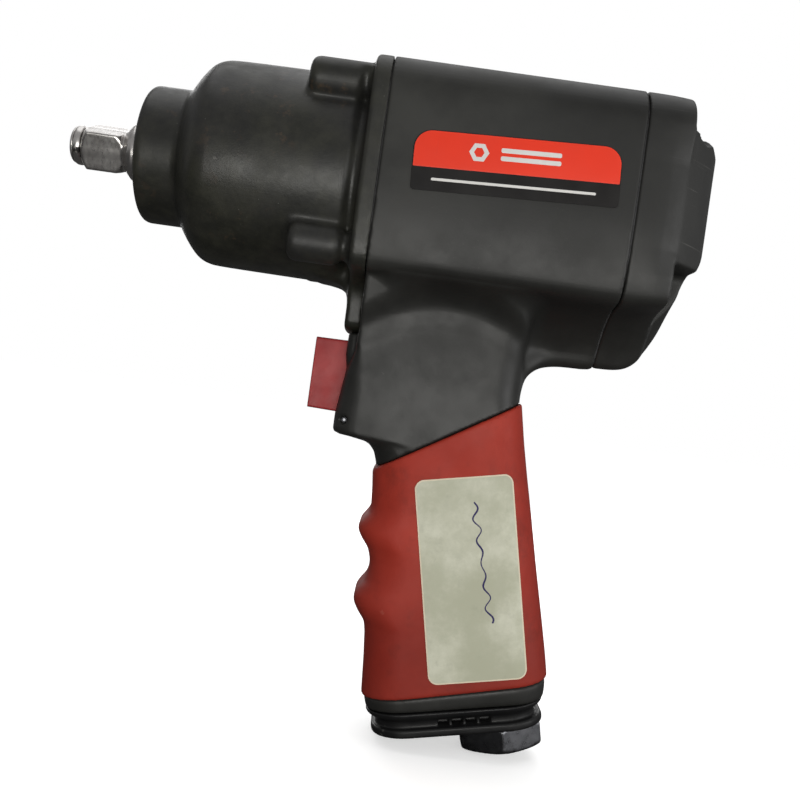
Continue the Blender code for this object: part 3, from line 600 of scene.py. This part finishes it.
# Where the handle's front and back are along X, by height. Above the grip, the trigger block is the
# narrow middle with the chin, and the flare is the broad neck on both sides of it.
GRIP_FRONT = eased([
    (-60, 104.0), (-80, 111.5), (-92, 113.5), (-98, 114.2), (-104.4, 114.7), (-106.4, 114.3),
    (-108.4, 112.9), (-110.4, 111.6), (-112.6, 111.6), (-115.0, 113.0), (-118.0, 115.5),
    (-121.6, 116.7), (-125.3, 116.8), (-128.4, 116.2), (-130.8, 114.4), (-133.2, 113.1),
    (-135.8, 113.3), (-138.6, 115.0), (-141.6, 117.5), (-145.0, 118.2), (-152.8, 119.0),
    (-164.7, 119.9), (-178, 122.1)], 0.7)
GRIP_BACK = eased([
    (-50, 156.0), (-65.6, 158.6), (-77.5, 161.0), (-88.6, 163.6), (-99, 166.2), (-115.9, 170.2),
    (-134.6, 174.9), (-144.5, 177.3), (-152.6, 179.0), (-158, 179.8), (-178, 182.4)], 1.5)
NECK_FRONT = eased([
    (-20, 100.2), (-50.0, 100.0), (-57.0, 99.9), (-61.6, 100.7), (-66.3, 100.9), (-71.0, 100.2),
    (-75.9, 99.3), (-81.8, 99.3), (-82.8, 100.2), (-83.2, 103.4), (-83.6, 108.6), (-84.6, 111.4),
    (-86.8, 113.3), (-90.2, 114.5), (-93.0, 115.0), (-100, 115.6)], 0.3)
FLARE_FRONT = eased([
    (-20, 103.3), (-55.5, 103.3), (-59.0, 102.2), (-63.0, 100.8), (-68.0, 100.1), (-76.0, 99.2),
    (-81.6, 99.2), (-82.9, 101.0), (-83.4, 108.8), (-84.6, 111.6), (-86.8, 113.5), (-90.2, 114.6),
    (-93.0, 115.1), (-100, 115.6)], 0.35)
NECK_BACK = eased([
    (-20, 157.0), (-57, 157.0), (-64, 157.1), (-78, 160.2), (-92.5, 163.6), (-100, 165.4)], 1.5)
NECK_HALF = eased([(-20, 19.8), (-60, 19.7), (-100, 19.8)], 2.0)
NECK_CORNER = eased([(-20, 1.2), (-55, 1.6), (-61, 5.0), (-68, 7.5), (-84, 8.5), (-100, 11.0)], 1.5)


def handle_field(x, y, front, back, lip, half, front_r, back_r, flare=13.0):
    """The handle's level section: half as wide as lip at the front, and as half further back."""
    middle = (front + back) / 2
    reach = (back - front) / 2
    ahead = np.clip((x - front - 0.35 * front_r) / flare, 0, 1)
    width = lip + (half - lip) * ahead * ahead * (3 - 2 * ahead)
    r = np.where(x < middle, front_r, back_r)
    return cornered(np.abs(x - middle), np.abs(y), reach, width, r)


def grip_field(x, y, z, inset):
    """The handle where the grip covers it."""
    front = GRIP_FRONT(z) + inset
    back = GRIP_BACK(z) - inset
    half = 20.6 - inset
    return handle_field(x, y, front, back, half - 0.9, half, 12.5 - inset, 12.0 - inset)


def grip_top(x, z):
    """Below zero under the grip's slanted top edge."""
    return (z - EDGE_Z - (x - EDGE_X) * EDGE_RISE) / math.hypot(1, EDGE_RISE)


def foot_seam(u):
    """The v of the seam between the grip and the foot, which falls a little to the rear."""
    return -FOOT_TILT * (u + 6.0)


# ---------------------------------------------------------------- the pieces

def neck_flare(x, z):
    """How much wider the neck grows under the body, in a low arch that tops out at arch_x."""
    arch_x = 131.0
    side = np.where(x < arch_x, 9.5 * ((x - arch_x) / 28.0) ** 2, 6.0 * ((x - arch_x) / 22.0) ** 2)
    above = np.clip(z + 44.0 + side, 0.0, 16.0)
    most = np.maximum(7.2 + (z + 32.0) * 0.2, 0.0)
    flare = np.maximum(join(above * above / 20.0, most, 2.0), 0.0) * np.clip((-30.4 - z) / 1.0, 0, 1)
    return flare + 0.6 * np.exp(-((z + 43.0 + side) / 3.0) ** 2)


def build_housing():
    grid = Grid((96.5, -37.5, -171.5), (183.0, 37.5, 37.5), 0.62)
    x, y, z = grid.x, grid.y, grid.z
    u, v = grid.base()
    tongue = polygon(y[0], z[0], housing_outline(0.0))[None]
    keel = polygon(y[0], z[0], housing_outline(1.0))[None]
    share = np.clip((x - 104.0) / 62.0, 0, 1)
    share = share * share * (3 - 2 * share)
    front = FRONT_SEAM + 0.12
    body = keep(tongue + (keel - tongue) * share, slab(x, front, REAR_SEAM - 0.14), 0.5)

    trigger_block = handle_field(x, y, NECK_FRONT(z), 140.0, 12.2, 12.2, 2.6, 3.0)
    trigger_block = keep(trigger_block, slab(z, -99.0, -30.0), 0.5)
    trigger_block = cut(trigger_block, np.maximum(x - front, TONGUE_Z - z), 0.5)
    flare = neck_flare(x, z)
    neck = handle_field(x, y, FLARE_FRONT(z), NECK_BACK(z), NECK_HALF(z) - 1.0 + flare,
                        NECK_HALF(z) + flare, NECK_CORNER(z), 9.5, 14.0)
    neck = keep(neck, slab(z, -99.0, -20.0), 0.5)
    handle = join(trigger_block, neck, 0.8)
    made = join(body, handle, 6.0 * np.clip((x - 104.5) / 8.0, 0.05, 1))
    made = np.maximum(made, np.minimum(front - x, z - TONGUE_Z))

    # The web behind the neck, which runs into the keel
    web = [(146, -40), (180.5, -42), (180.5, -50.2), (172, -50.5), (167.5, -51.4), (163.4, -53.1),
           (160.4, -55.6), (158.6, -58.8), (157.6, -63.4), (157.4, -69), (146, -70)]
    web = polygon(x[:, 0], z[0], soften(web, 2))[:, None]
    waist = 3.0 + 5.0 * np.clip((-46 - z) / 14.0, 0, 1) + 3.0 * np.clip((168 - x) / 12.0, 0, 1)
    made = join(made, keep(web, np.abs(y) - waist, 5.0) + 0.5, 3.0)

    # Under the grip the core stands in, and the foot below it stands out again
    core = np.maximum(np.maximum(grip_field(x, y, z, 2.3), v - 4.0), grip_top(x, z) - 5.0)
    made = np.maximum(made, -grip_top(x, z))
    made = join(made, core)
    foot = keep(grip_field(x, y, z, 0.8 + 0.06 * np.maximum(v, 0.0) ** 1.5),
                slab(v, foot_seam(u) - 0.05, 4.8), 0.9)
    made = join(made, foot)

    # Bores: motor, bolts, trigger, throttle, pin, air inlet and exhaust
    made = cut(made, rod(grid, 90, 200, MOTOR_BORE_R), 0.5)
    for place in BOLTS:
        made = cut(made, rod(grid, 90, 200, 3.0, place))
    made = cut(made, np.maximum(block(y, z - TRIGGER_Z, 7.4, 12.45, 1.2), slab(x, 80, 112.5)), 0.5)
    made = cut(made, rod(grid, 108, 151.5, 6.7, (0, TRIGGER_Z)))
    made = cut(made, np.maximum(np.hypot(x - PIN_X, z - PIN_Z) - 1.25, PIN_Y - 0.7 - np.abs(y)), 0.2)
    made = cut(made, raked_rod(grid, 5.6, -96.0, 10.0))
    made = cut(made, raked_rod(grid, 9.2, -17.9, 10.0))
    made = cut(made, np.maximum(block(u + 13.0, y, 12.0, 13.0, 1.5), slab(v, -14, 10)))
    piece = meshed("housing_shell", grid, made, SHELL)
    hang(piece, "body", ["motor_housing"])


def build_grip():
    grid = Grid((108.5, -22.5, -167.5), (182.0, 22.5, -62.0), 0.55)
    x, y, z = grid.x, grid.y, grid.z
    u, v = grid.base()
    made = grip_field(x, y, z, 0.0)
    made = keep(made, grip_top(x, z) + 0.2, 1.1)
    made = keep(made, v - foot_seam(u) + 0.15, 0.9)
    made = cut(made, grip_field(x, y, z, 2.05))
    hang(meshed("grip_sleeve", grid, made, GRIP), "body", ["grip"])


def build_case():
    grid = Grid((24.0, -38.5, -52.5), (105.0, 38.5, 38.0), 0.55)
    x, y, z = grid.x, grid.y, grid.z
    nose = revolved(grid, [
        (CASE_FRONT, -1), (CASE_FRONT, NOSE_R - 2.3), (26.2, NOSE_R - 1.0), (27.0, NOSE_R - 0.25),
        (28.2, NOSE_R), (60, NOSE_R), (60, -1)])
    shoulder = [
        (SHOULDER, -1), (SHOULDER, 21.4), (40.2, 23.4), (41.5, 25.6), (43.2, 28.0), (44.9, 30.1),
        (46.8, 31.9), (49.0, 32.9), (52.0, CASE_R), (75, 33.7), (110, 34.0), (110, -1)]
    made = join(nose, revolved(grid, soften(shoulder, 2)), 1.6)
    outline = polygon(y[0], z[0], housing_outline(0.0))[None]
    flange = keep(outline, slab(x, FLANGE_FRONT + 0.6, FRONT_SEAM + 4.0), 1.8)
    for by, bz in BOLTS:
        boss = np.hypot(y - by, z - bz) - 6.3
        made = join(made, keep(boss, 78.4 - x, 3.4), 2.2)

    # A groove in front of the flange, but not along its top edge
    made = made + 2.0 * np.exp(-((x - 96.0) / 1.9) ** 2) * np.clip((29.5 - z) / 5.0, 0, 1)
    made = join(made, flange, 1.2)
    web = [(84, -26), (101, -26), (101, -42), (98.9, -39.0), (96.4, -35.8), (91.5, -33.7), (86, -33.2)]
    web = polygon(x[:, 0], z[0], soften(web, 2))[:, None]
    made = join(made, keep(web, np.abs(y) - 10.5, 4.0), 3.0)
    made = keep(made, x - (FRONT_SEAM - 0.12), 0.4)
    made = cut(made, rod(grid, 50.5, 120, CAVITY_R), 0.6)
    made = cut(made, rod(grid, 45.8, 60, 17.4))
    made = cut(made, rod(grid, 28.2, 50, 14.0))
    made = cut(made, rod(grid, 20, 30, 11.2), 1.4)
    for place in BOLTS:
        made = cut(made, rod(grid, 83.5, 120, 2.85, place))
    hang(meshed("case_casting", grid, made, CASE), "body", ["hammer_case"])


def build_cover():
    grid = Grid((179.5, -37.5, -53.0), (208.5, 37.5, 37.5), 0.5)
    x, y, z = grid.x, grid.y, grid.z
    outline = polygon(y[0], z[0], housing_outline(1.0))[None]
    inset = eased([(180, 0.2), (184, 0.3), (187, 0.5), (190, 1.0), (193, 2.0), (195.5, 3.2), (198, 5.6),
                   (200, 7.7), (202, 9.9), (204.5, 12.7), (206.5, 15.4), (210, 21.0)], 0.6)

    # In front of the screw seats, the top and the bottom draw in less than the sides
    share = 1 - 0.8 * np.clip((z - 12.0) / 12.0, 0, 1) * np.clip((196.4 - x) / 0.8, 0, 1)
    share = share - 0.5 * np.clip((-14.0 - z) / 8.0, 0, 1) * np.clip((196.8 - x) / 1.6, 0, 1)
    made = keep(outline + inset(x) * share, slab(x, REAR_SEAM + 0.14, 206.9), 0.8)
    under = [(170, -50.9), (184.6, -50.9), (189.4, -50.3), (192.8, -48.6), (196.6, -44.6),
             (199.4, -40.2), (201.2, -35.8), (202.3, -31.0), (203.1, -26.0), (203.9, -21.0),
             (206.2, -15.4), (214, -8), (214, 42), (170, 42)]
    made = keep(made, polygon(x[:, 0], z[0], soften(under, 2))[:, None], 2.4)
    made = cut(made, np.maximum(SEAT_X - x, 23.6 - z), 1.1)
    pocket = keep(SEAT_X - x, keep(z + 17.3, 10.4 - np.abs(y), 3.0), 0.8)
    made = cut(made, pocket, 1.2)
    for place in BOLTS:
        made = cut(made, rod(grid, SEAT_X - 5.5, 300, 4.45, place), 0.3)
        made = cut(made, rod(grid, 170, 300, 3.0, place))
    made = cut(made, rod(grid, 170, 184.5, 24.0), 0.5)
    made = cut(made, rod(grid, 170, 200.4, 8.7, (0, KNOB_Z)))
    made = cut(made, rod(grid, 190, 300, 4.2, (0, KNOB_Z)))
    made = cut(made, rod(grid, 203.2, 300, KNOB_R + 0.4, (0, KNOB_Z)), 0.6)
    hang(meshed("cover_cap", grid, made, SHELL), "body", ["rear_cover"])


def build_trigger():
    grid = Grid((87.5, -8.5, -78.0), (107.5, 8.5, -50.5), 0.2)
    x, y, z = grid.x, grid.y, grid.z
    side = polygon(x[:, 0], z[0], [(88.9, -52.3), (106, -52.2), (106, -76.3), (89.0, -75.9)])[:, None]
    half = 7.0
    made = keep(side, np.abs(y) - half, 1.0)
    made = np.maximum(made, 88.9 + (np.abs(y) / half) ** 2 * 0.7 - x)
    trim = [(88.8, -52.25), (107, -52.0), (107, -76.5), (88.9, -75.95)]
    made = keep(made, polygon(x[:, 0], z[0], trim)[:, None], 1.0)
    made = cut(made, rod(grid, 97.0, 120, 2.4, (0, TRIGGER_Z)))
    hang(meshed("trigger_button", grid, made, TRIGGER), "trigger", ["trigger"])


def build_anvil():
    grid = Grid((-1.0, -13.6, -13.6), (96.0, 13.6, 13.6), 0.24)
    x, y, z = grid.x, grid.y, grid.z
    shaft = [(0.0, -1), (0.0, 4.3), (0.25, 5.2), (0.8, 5.85), (1.35, 6.0), (1.35, 3.7), (4.05, 3.7),
             (4.05, 6.05), (4.6, 6.2), (17.6, 6.2), (18.5, 6.9), (19.6, 8.3), (20.6, 9.3), (21.6, 9.7),
             (50.0, 9.7), (50.4, 8.4), (91.0, 8.4), (91.4, 6.0), (94.4, 5.6), (94.4, -1)]
    made = revolved(grid, shaft)
    turn = math.radians(26.0)
    across = y * math.cos(turn) + z * math.sin(turn)
    upright = -y * math.sin(turn) + z * math.cos(turn)
    square = block(across, upright, SQUARE_HALF, SQUARE_HALF, 0.55)
    ends = revolved(grid, [(4.5, -1), (4.5, 6.5), (5.0, 7.4), (6.1, 8.75), (15.8, 8.75), (17.4, 7.7),
                           (18.2, 6.6), (18.2, -1)])
    made = join(made, keep(square, ends, 0.5), 0.5)
    for x0, x1, side in ((57.6, 72.6, 1), (74.6, 90.0, -1)):
        jaw = np.maximum(np.hypot(y, z) - 12.5, np.abs(z) - side * y * 0.55)
        made = join(made, keep(jaw, slab(x, x0, x1), 0.6), 0.8)
    hang(meshed("anvil_drive", grid, made, STEEL), "anvil", ["anvil"])


def build_retainer():
    """The split friction ring, its rounded section swept round all but the slit."""
    rows = []
    start = 217.0
    swept = 342.0
    steps = 96
    sides = 16
    for k in range(steps + 1):
        angle = math.radians(start + swept * k / steps)
        row = []
        for j in range(sides):
            turn = math.tau * j / sides
            across = 1.12 * math.copysign(abs(math.cos(turn)) ** 0.7, math.cos(turn))
            out = 5.83 + 0.66 * math.copysign(abs(math.sin(turn)) ** 0.7, math.sin(turn))
            row.append((2.7 + across, out * math.cos(angle), out * math.sin(angle)))
        rows.append(row)
    hang(lofted("friction_ring", rows, STEEL), "anvil", ["retainer_ring"])


def build_knob():
    def ribbed(x, r, angle):
        """The radius with the rim's twelve finger dips."""
        if r < 14.0 or x < 203.6:
            return r
        dip = max(0.0, math.cos(12 * angle)) ** 2
        return r - 0.9 * dip * min(1.0, (r - 14.0) / 2.0)

    profile = [(200.8, 3.8), (203.5, 3.8), (203.5, 16.7), (203.8, KNOB_R), (204.8, KNOB_R),
               (205.8, 16.6), (206.6, 15.8), (207.2, 14.7), (207.5, 13.4), (207.4, 12.4),
               (207.7, 11.0), (208.2, 8.6), (208.7, 5.6), (209.0, 2.4), (209.0, 0.4)]
    rows = [circle(x, lambda angle: ribbed(x, r, angle), (0, KNOB_Z), 144) for x, r in profile]
    made = lofted("knob_dial", rows, BLACK)
    hang(made, "reverse", ["reverse_knob"])
    arrow = [(-1.1, 9.6), (1.1, 9.6), (0.0, 12.4)]
    rows = [[(x, y, KNOB_Z + z) for y, z in arrow] for x in (207.2, 208.0)]
    mark = lofted("knob_pointer", rows, WHITE_INK, smooth=False)
    hang(mark, "reverse", [])


def build_stop_pins():
    """The ends of the pin that holds the trigger in."""
    for side in (-1, 1):
        rows = []
        for out, r in ((-1.6, 0.9), (-0.5, 0.95), (-0.25, 0.85), (-0.15, 0.5), (-0.3, 0.42)):
            rows.append([(PIN_X + r * math.cos(math.tau * k / 24), side * (PIN_Y + out),
                          PIN_Z + r * math.sin(math.tau * k / 24)) for k in range(24)])
        pin = lofted("stop_pin_%s" % ("near" if side < 0 else "far"), rows, NICKEL)
        hang(pin, "body", [])


def build_bolts():
    """Four cap screws, each with a hex socket in its head."""
    def socket(angle):
        return 2.0 / math.cos((angle % (math.pi / 3)) - math.pi / 6)

    head = SEAT_X - 5.3
    top = SEAT_X - 0.2
    profile = [(86.0, 1.7), (86.8, 2.4), (head, 2.4), (head, 4.1), (head + 0.2, 4.25),
               (SEAT_X - 0.9, 4.25), (SEAT_X - 0.4, 4.0), (top, 3.6), (top, 2.75), (SEAT_X - 0.6, 2.4)]
    steps = 48
    number = 0
    for z in (BOLT_Z, -BOLT_Z):
        for y in (-BOLT_Y, BOLT_Y):
            number += 1
            rows = [circle(x, lambda angle: r, (y, z), steps) for x, r in profile]
            rows += [circle(x, socket, (y, z), steps) for x in (SEAT_X - 0.7, SEAT_X - 3.4)]
            name = "case_bolt_%d" % number
            hang(lofted("cap_screw_%d" % number, rows, BLACK_OXIDE), "body", [name])


def build_inlet():
    grid = Grid((147.0, -15.8, -182.5), (184.5, 15.8, -136.0), 0.32)
    u, v = grid.base()
    du = u - INLET_U
    y = grid.y
    radius = np.sqrt(du ** 2 + y ** 2)
    stub = np.maximum(radius - 8.95, slab(v, -16.0, 14.5))
    half = INLET_HEX / 2
    flats = np.abs(du) - half
    for side in (-1, 1):
        flats = np.maximum(flats, np.abs(y * math.cos(math.pi / 6) + side * du * 0.5) - half)
    hexagon = keep(flats, slab(v, 13.3, 21.9), 0.5)
    hexagon = keep(hexagon, (radius - 14.4) * 0.5 + (v - 21.2) * 0.75, 0.6)
    hexagon = keep(hexagon, (radius - 14.6) * 0.5 + (13.9 - v) * 0.75, 0.6)
    made = join(stub, hexagon, 0.6)
    pitch = 1.34
    thread = 0.35 * np.abs(((v / pitch + np.arctan2(y, du) / math.tau) % 1.0) - 0.5) * 2
    bore = radius - (6.3 + 0.06 * (v - 8.0)) - thread
    made = cut(made, np.maximum(bore, 5.0 - v))
    made = cut(made, radius - 5.2)
    made = cut(made, np.maximum(radius - 7.4 - (v - 21.9) * 0.9, 19.0 - v), 0.3)
    hang(meshed("inlet_fitting", grid, made, NICKEL), "body", ["inlet_bushing"])


def build_deflector():
    grid = Grid((119.0, -21.5, -180.0), (182.0, 21.5, -155.0), 0.36)
    u, v = grid.base()
    y = grid.y
    inset = eased([
        (4.0, 0.0), (5.6, 0.1), (6.6, 0.6), (7.4, 1.7), (8.0, 2.8), (8.6, 3.1), (14, 3.1)], 0.3)
    made = keep(block(u + 0.4, y, 28.9, 19.7, 13.5) + inset(v), slab(v, 5.05, 10.8), 0.6)
    plate = keep(block(u, y, 27.9, 18.3, 12.4), slab(v, 10.4, 13.2), 1.0)
    made = join(made, plate, 0.6)
    made = cut(made, np.maximum(block(u, y, 24.5, 10.4, 7.0), slab(v, 0, 10.9)))
    radius = np.sqrt((u - INLET_U) ** 2 + y ** 2)
    made = join(made, np.maximum(radius - 11.6, slab(v, 5.3, 12.0)))
    made = cut(made, radius - 9.5)

    # Exhaust windows in the near wall, and slots in the underside
    for start in (-6.2, -1.8, 2.6, 7.0):
        window = np.maximum(slab(u, start, start + 3.5), slab(v, 8.2, 10.1))
        made = cut(made, np.maximum(window, y + 13.0), 0.4)
    for start in (-21.0, -16.0, -11.0, -6.0):
        made = cut(made, np.maximum(block(u - start - 1.2, y, 1.2, 9.0, 1.1), slab(v, 9, 20)), 0.4)
    hang(meshed("exhaust_base", grid, made, BLACK), "body", ["exhaust_deflector"])


def rounded_panel(low_x, high_x, low_z, high_z, top_r, bottom_r, steps=10):
    """The outline of a rectangle, with its own corner radius at the top and at the bottom."""
    outline = []
    for x, z, first, r in ((high_x, high_z, 0, top_r), (low_x, high_z, 90, top_r),
                           (low_x, low_z, 180, bottom_r), (high_x, low_z, 270, bottom_r)):
        sx = 1 if x == high_x else -1
        sz = 1 if z == high_z else -1
        for k in range(steps + 1):
            angle = math.radians(first + 90.0 * k / steps)
            outline.append((x - sx * r + r * math.cos(angle), z - sz * r + r * math.sin(angle)))
    return outline


def plate_point(x, y, z):
    """A point of the plate, which sits turned a little against the body."""
    middle_x, middle_z = PLATE_MIDDLE
    dx = x - middle_x
    dz = z - middle_z
    return (middle_x + dx * math.cos(PLATE_TURN) - dz * math.sin(PLATE_TURN), y,
            middle_z + dx * math.sin(PLATE_TURN) + dz * math.cos(PLATE_TURN))


def panel(name, outline, out, depth, material):
    """A thin flat print on the near side, with a small rounded rim."""
    middle_x = sum(x for x, _ in outline) / len(outline)
    middle_z = sum(z for _, z in outline) / len(outline)
    rows = []
    for level, shrink in ((0.0, 0.0), (0.7, 0.0), (1.0, 0.06)):
        row = []
        for x, z in outline:
            reach = math.hypot(x - middle_x, z - middle_z)
            scale = 1 - shrink / reach
            row.append(plate_point(middle_x + (x - middle_x) * scale, out - depth * level,
                                   middle_z + (z - middle_z) * scale))
        rows.append(row)
    return hang(lofted(name, rows, material), "body", [])


def build_plate():
    """The plate with a plain nut mark and bars where the maker's print would be."""
    low_x, high_x = PLATE_X
    low_z, high_z = PLATE_Z
    thick = 0.3
    film = 0.05
    ink = 0.03
    rim = 0.25
    back = panel("plate_back", rounded_panel(low_x, high_x, low_z, high_z, 5.5, 1.2), PLATE_Y, thick,
                 BLACK_FILM)
    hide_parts("name_plate")
    front = PLATE_Y - thick
    panel("plate_red", rounded_panel(low_x + rim, high_x - rim, PLATE_SPLIT, high_z - rim, 5.3, 0.3),
          front, film, RED_FILM)
    nut_x, nut_z = NUT_MIDDLE
    ring = []
    for k in range(6):
        angle = math.radians(60 * k)
        ring.append((nut_x + NUT_R * math.cos(angle), nut_z + NUT_R * math.sin(angle)))
    rows = []
    for scale, level in ((1.0, 0.0), (1.0, 1.0), (0.52, 1.0), (0.52, 0.0)):
        rows.append([plate_point(nut_x + (x - nut_x) * scale, front - film - ink * level,
                                 nut_z + (z - nut_z) * scale) for x, z in ring])
    nut = lofted("plate_nut_mark", rows, WHITE_INK, closed=True, smooth=False)
    hang(nut, "body", [])
    for number, (low, high) in enumerate(((7.5, 8.9), (5.1, 6.5))):
        panel("plate_bar_%d" % (number + 1), rounded_panel(139.0, 157.0, low, high, 0.5, 0.5, 4),
              front - film, ink, WHITE_INK)
    panel("plate_line", rounded_panel(119.0, 168.0, -2.5, -1.7, 0.3, 0.3, 4), front, ink, WHITE_INK)


def on_grip(x, z):
    """How far out the grip's near side stands at a point."""
    low = 5.0
    high = 24.0
    for _ in range(24):
        middle = (low + high) / 2
        inside = grip_field(np.float32(x), np.float32(middle), np.float32(z), 0.0) < 0
        low, high = (middle, high) if inside else (low, middle)
    return (low + high) / 2


def label_point(u, v, lift):
    """A point over the grip, from the label's middle along its width and down its height."""
    x = LABEL_X + u * math.cos(RAKE) + v * math.sin(RAKE)
    z = LABEL_Z + u * math.sin(RAKE) - v * math.cos(RAKE)
    return (x, -on_grip(x, z) - lift, z)


def build_label():
    """The label's two sheets, bent to the grip, and a plain ink wave where writing would be."""
    corner = 3.0
    columns = 25
    bands = 44
    gap = 0.04
    sheets_of = {"label_backing": (0.0, 0.0, 0.16, LABEL_EDGE), "label_face": (0.45, 0.16, 0.22, LABEL)}
    for name, (margin, low, high, material) in sheets_of.items():
        half_u = LABEL_HALF[0] - margin
        half_v = LABEL_HALF[1] - margin
        r = corner - margin
        levels = [half_v * (2 * k / bands - 1) for k in range(bands + 1)]
        corners = [s * (half_v - r + r * math.sin(math.radians(a))) for s in (-1, 1)
                   for a in range(0, 91, 15)]
        levels = sorted(set(levels + corners))
        work = bmesh.new()
        sheets = []
        for lift in (low, high):
            sheet = []
            for v in levels:
                over = min(r, max(0.0, abs(v) - (half_v - r)))
                reach = half_u - (r - math.sqrt(max(0.0, r * r - over * over)))
                row = []
                for j in range(columns):
                    u = -reach + 2 * reach * j / (columns - 1)
                    row.append(work.verts.new([c * MM for c in label_point(u, v, gap + lift)]))
                sheet.append(row)
            sheets.append(sheet)
        inner, outer = sheets
        for i in range(len(levels) - 1):
            for j in range(columns - 1):
                work.faces.new((inner[i][j], inner[i][j + 1], inner[i + 1][j + 1], inner[i + 1][j]))
                work.faces.new((outer[i][j], outer[i + 1][j], outer[i + 1][j + 1], outer[i][j + 1]))
            for j in (0, columns - 1):
                work.faces.new((inner[i][j], inner[i + 1][j], outer[i + 1][j], outer[i][j]))
        for i in (0, len(levels) - 1):
            for j in range(columns - 1):
                work.faces.new((inner[i][j], inner[i][j + 1], outer[i][j + 1], outer[i][j]))
        piece = shaped(name, work, material, sharp=40)
        hang(piece, "body", ["grip_sticker"] if margin == 0 else [])
    rows = []
    steps = 150
    length = 38.0
    sway = 1.1
    waves = 34.0
    ink = 0.03
    for k in range(steps + 1):
        part = k / steps
        v = -24.0 + length * part
        u = 2.6 + sway * math.sin(part * waves) * (0.7 + 0.3 * math.sin(part * 9.0)) + 2.6 * part
        tilt = math.atan2(sway * waves * math.cos(part * waves) / length, 1.0)
        wide = 0.24 + 0.06 * math.sin(part * 21.0)
        left = label_point(u + wide * math.cos(tilt), v - wide * math.sin(tilt), 0.25)
        right = label_point(u - wide * math.cos(tilt), v + wide * math.sin(tilt), 0.25)
        rows.append([left, right, (right[0], right[1] - ink, right[2]),
                     (left[0], left[1] - ink, left[2])])
    wave = lofted("label_ink_wave", rows, BLUE_INK, smooth=False)
    hang(wave, "body", [])


# ---------------------------------------------------------------- carried-over CAD nodes

def dress(nodes, material):
    for name in nodes:
        node = frame["nodes"][name]
        node.data.materials.clear()
        node.data.materials.append(material)


def dress_inner_nodes():
    dress(["hammer_cage", "hammer_front", "hammer_rear", "hammer_pin_upper", "hammer_pin_lower", "rotor",
           "front_bearing", "rear_bearing", "cylinder_pin", "throttle_pin", "throttle_spring"], MACHINED)
    dress(["front_end_plate", "rear_end_plate", "cylinder"], ALLOY)
    dress(["nose_bushing", "reverse_valve", "throttle_bushing"], BRONZE)
    dress(["retainer_o_ring", "throttle_valve", "inlet_o_ring"], RUBBER)
    dress(["vane_%d" % k for k in range(1, 7)], VANE)
    dress(["case_gasket", "rear_gasket"], GASKET)
    dress(["exhaust_silencer"], FELT)
    dress(["inlet_screen"], NICKEL)


# ---------------------------------------------------------------- studio

def area_light(name, place, target, size, power, colour=(1, 1, 1)):
    light = bpy.data.lights.new(name, "AREA")
    light.shape = "RECTANGLE"
    light.size, light.size_y = size
    light.energy = power
    light.color = colour
    obj = bpy.data.objects.new(name, light)
    bpy.context.scene.collection.objects.link(obj)
    obj.location = place
    away = (obj.location - Vector(target)).normalized()
    obj.rotation_euler = away.to_track_quat("Z", "Y").to_euler()


def build_studio():
    scene = bpy.context.scene
    world = bpy.data.worlds.new("studio")
    scene.world = world
    world.use_nodes = True
    background = world.node_tree.nodes["Background"]
    background.inputs["Color"].default_value = (1.0, 1.0, 1.0, 1.0)
    path = world.node_tree.nodes.new("ShaderNodeLightPath")
    level = world.node_tree.nodes.new("ShaderNodeMapRange")
    level.inputs["To Min"].default_value = WORLD_ON_PIECES
    level.inputs["To Max"].default_value = WORLD_SEEN
    world.node_tree.links.new(path.outputs["Is Camera Ray"], level.inputs["Value"])
    world.node_tree.links.new(level.outputs["Result"], background.inputs["Strength"])
    scene.view_settings.view_transform = "Standard"

    floor_z = CAD_BOX[0][2] - 0.0002
    bpy.ops.mesh.primitive_plane_add(size=12.0, location=(0.1, 0, floor_z))
    floor = bpy.context.object
    floor.name = "floor"
    g = Graph("floor_pale")
    tone = g.mix(g.ramp(g.noise(3, 3, 0.5), 0.3, 0.7), rgb(0.9, 0.9, 0.9), rgb(0.92, 0.92, 0.92))
    seen = g.add("ShaderNodeLightPath").outputs["Is Camera Ray"]
    g.set(Base_Color=g.mix(seen, rgb(0.06, 0.06, 0.06), tone), Roughness=0.9, Specular_IOR_Level=0.1,
          Emission_Color=rgb(1, 1, 1), Emission_Strength=g.math("MULTIPLY", seen, 0.5))
    floor.data.materials.append(g.material)

    target = (0.11, 0.0, -0.06)
    area_light("front_panel", (0.15, -0.42, -0.1), (0.15, 0, -0.07), (0.45, 0.13), 1.15,
               (1.0, 0.99, 0.95))
    area_light("side_panel", (0.75, -0.3, -0.02), target, (0.5, 0.3), 1.5)
    area_light("far_fill", (0.0, 0.75, 0.25), target, (0.8, 0.5), 3.0)
    sun = bpy.data.lights.new("overhead", "SUN")
    sun.energy = 1.0
    sun.angle = math.radians(70)
    overhead = bpy.data.objects.new("overhead", sun)
    scene.collection.objects.link(overhead)
    overhead.rotation_euler = (math.radians(-12), 0, 0)

    camera_data = bpy.data.cameras.new("photo_camera")
    camera_data.sensor_width = 36.0
    camera_data.lens = CAMERA_LENS
    camera_data.clip_start = 0.01
    camera = bpy.data.objects.new("photo_camera", camera_data)
    scene.collection.objects.link(camera)
    right = Vector((math.cos(CAMERA_LEAN), 0.0, math.sin(CAMERA_LEAN)))
    up = Vector((-math.sin(CAMERA_LEAN), 0.0, math.cos(CAMERA_LEAN)))
    turn = Matrix((right, up, right.cross(up))).transposed().to_4x4()
    turn.translation = Vector(CAMERA_PLACE)
    camera.matrix_world = turn
    scene.camera = camera


build_case()
build_housing()
build_cover()
build_grip()
build_trigger()
build_stop_pins()
build_anvil()
build_retainer()
build_knob()
build_bolts()
build_inlet()
build_deflector()
build_plate()
build_label()
dress_inner_nodes()
build_studio()
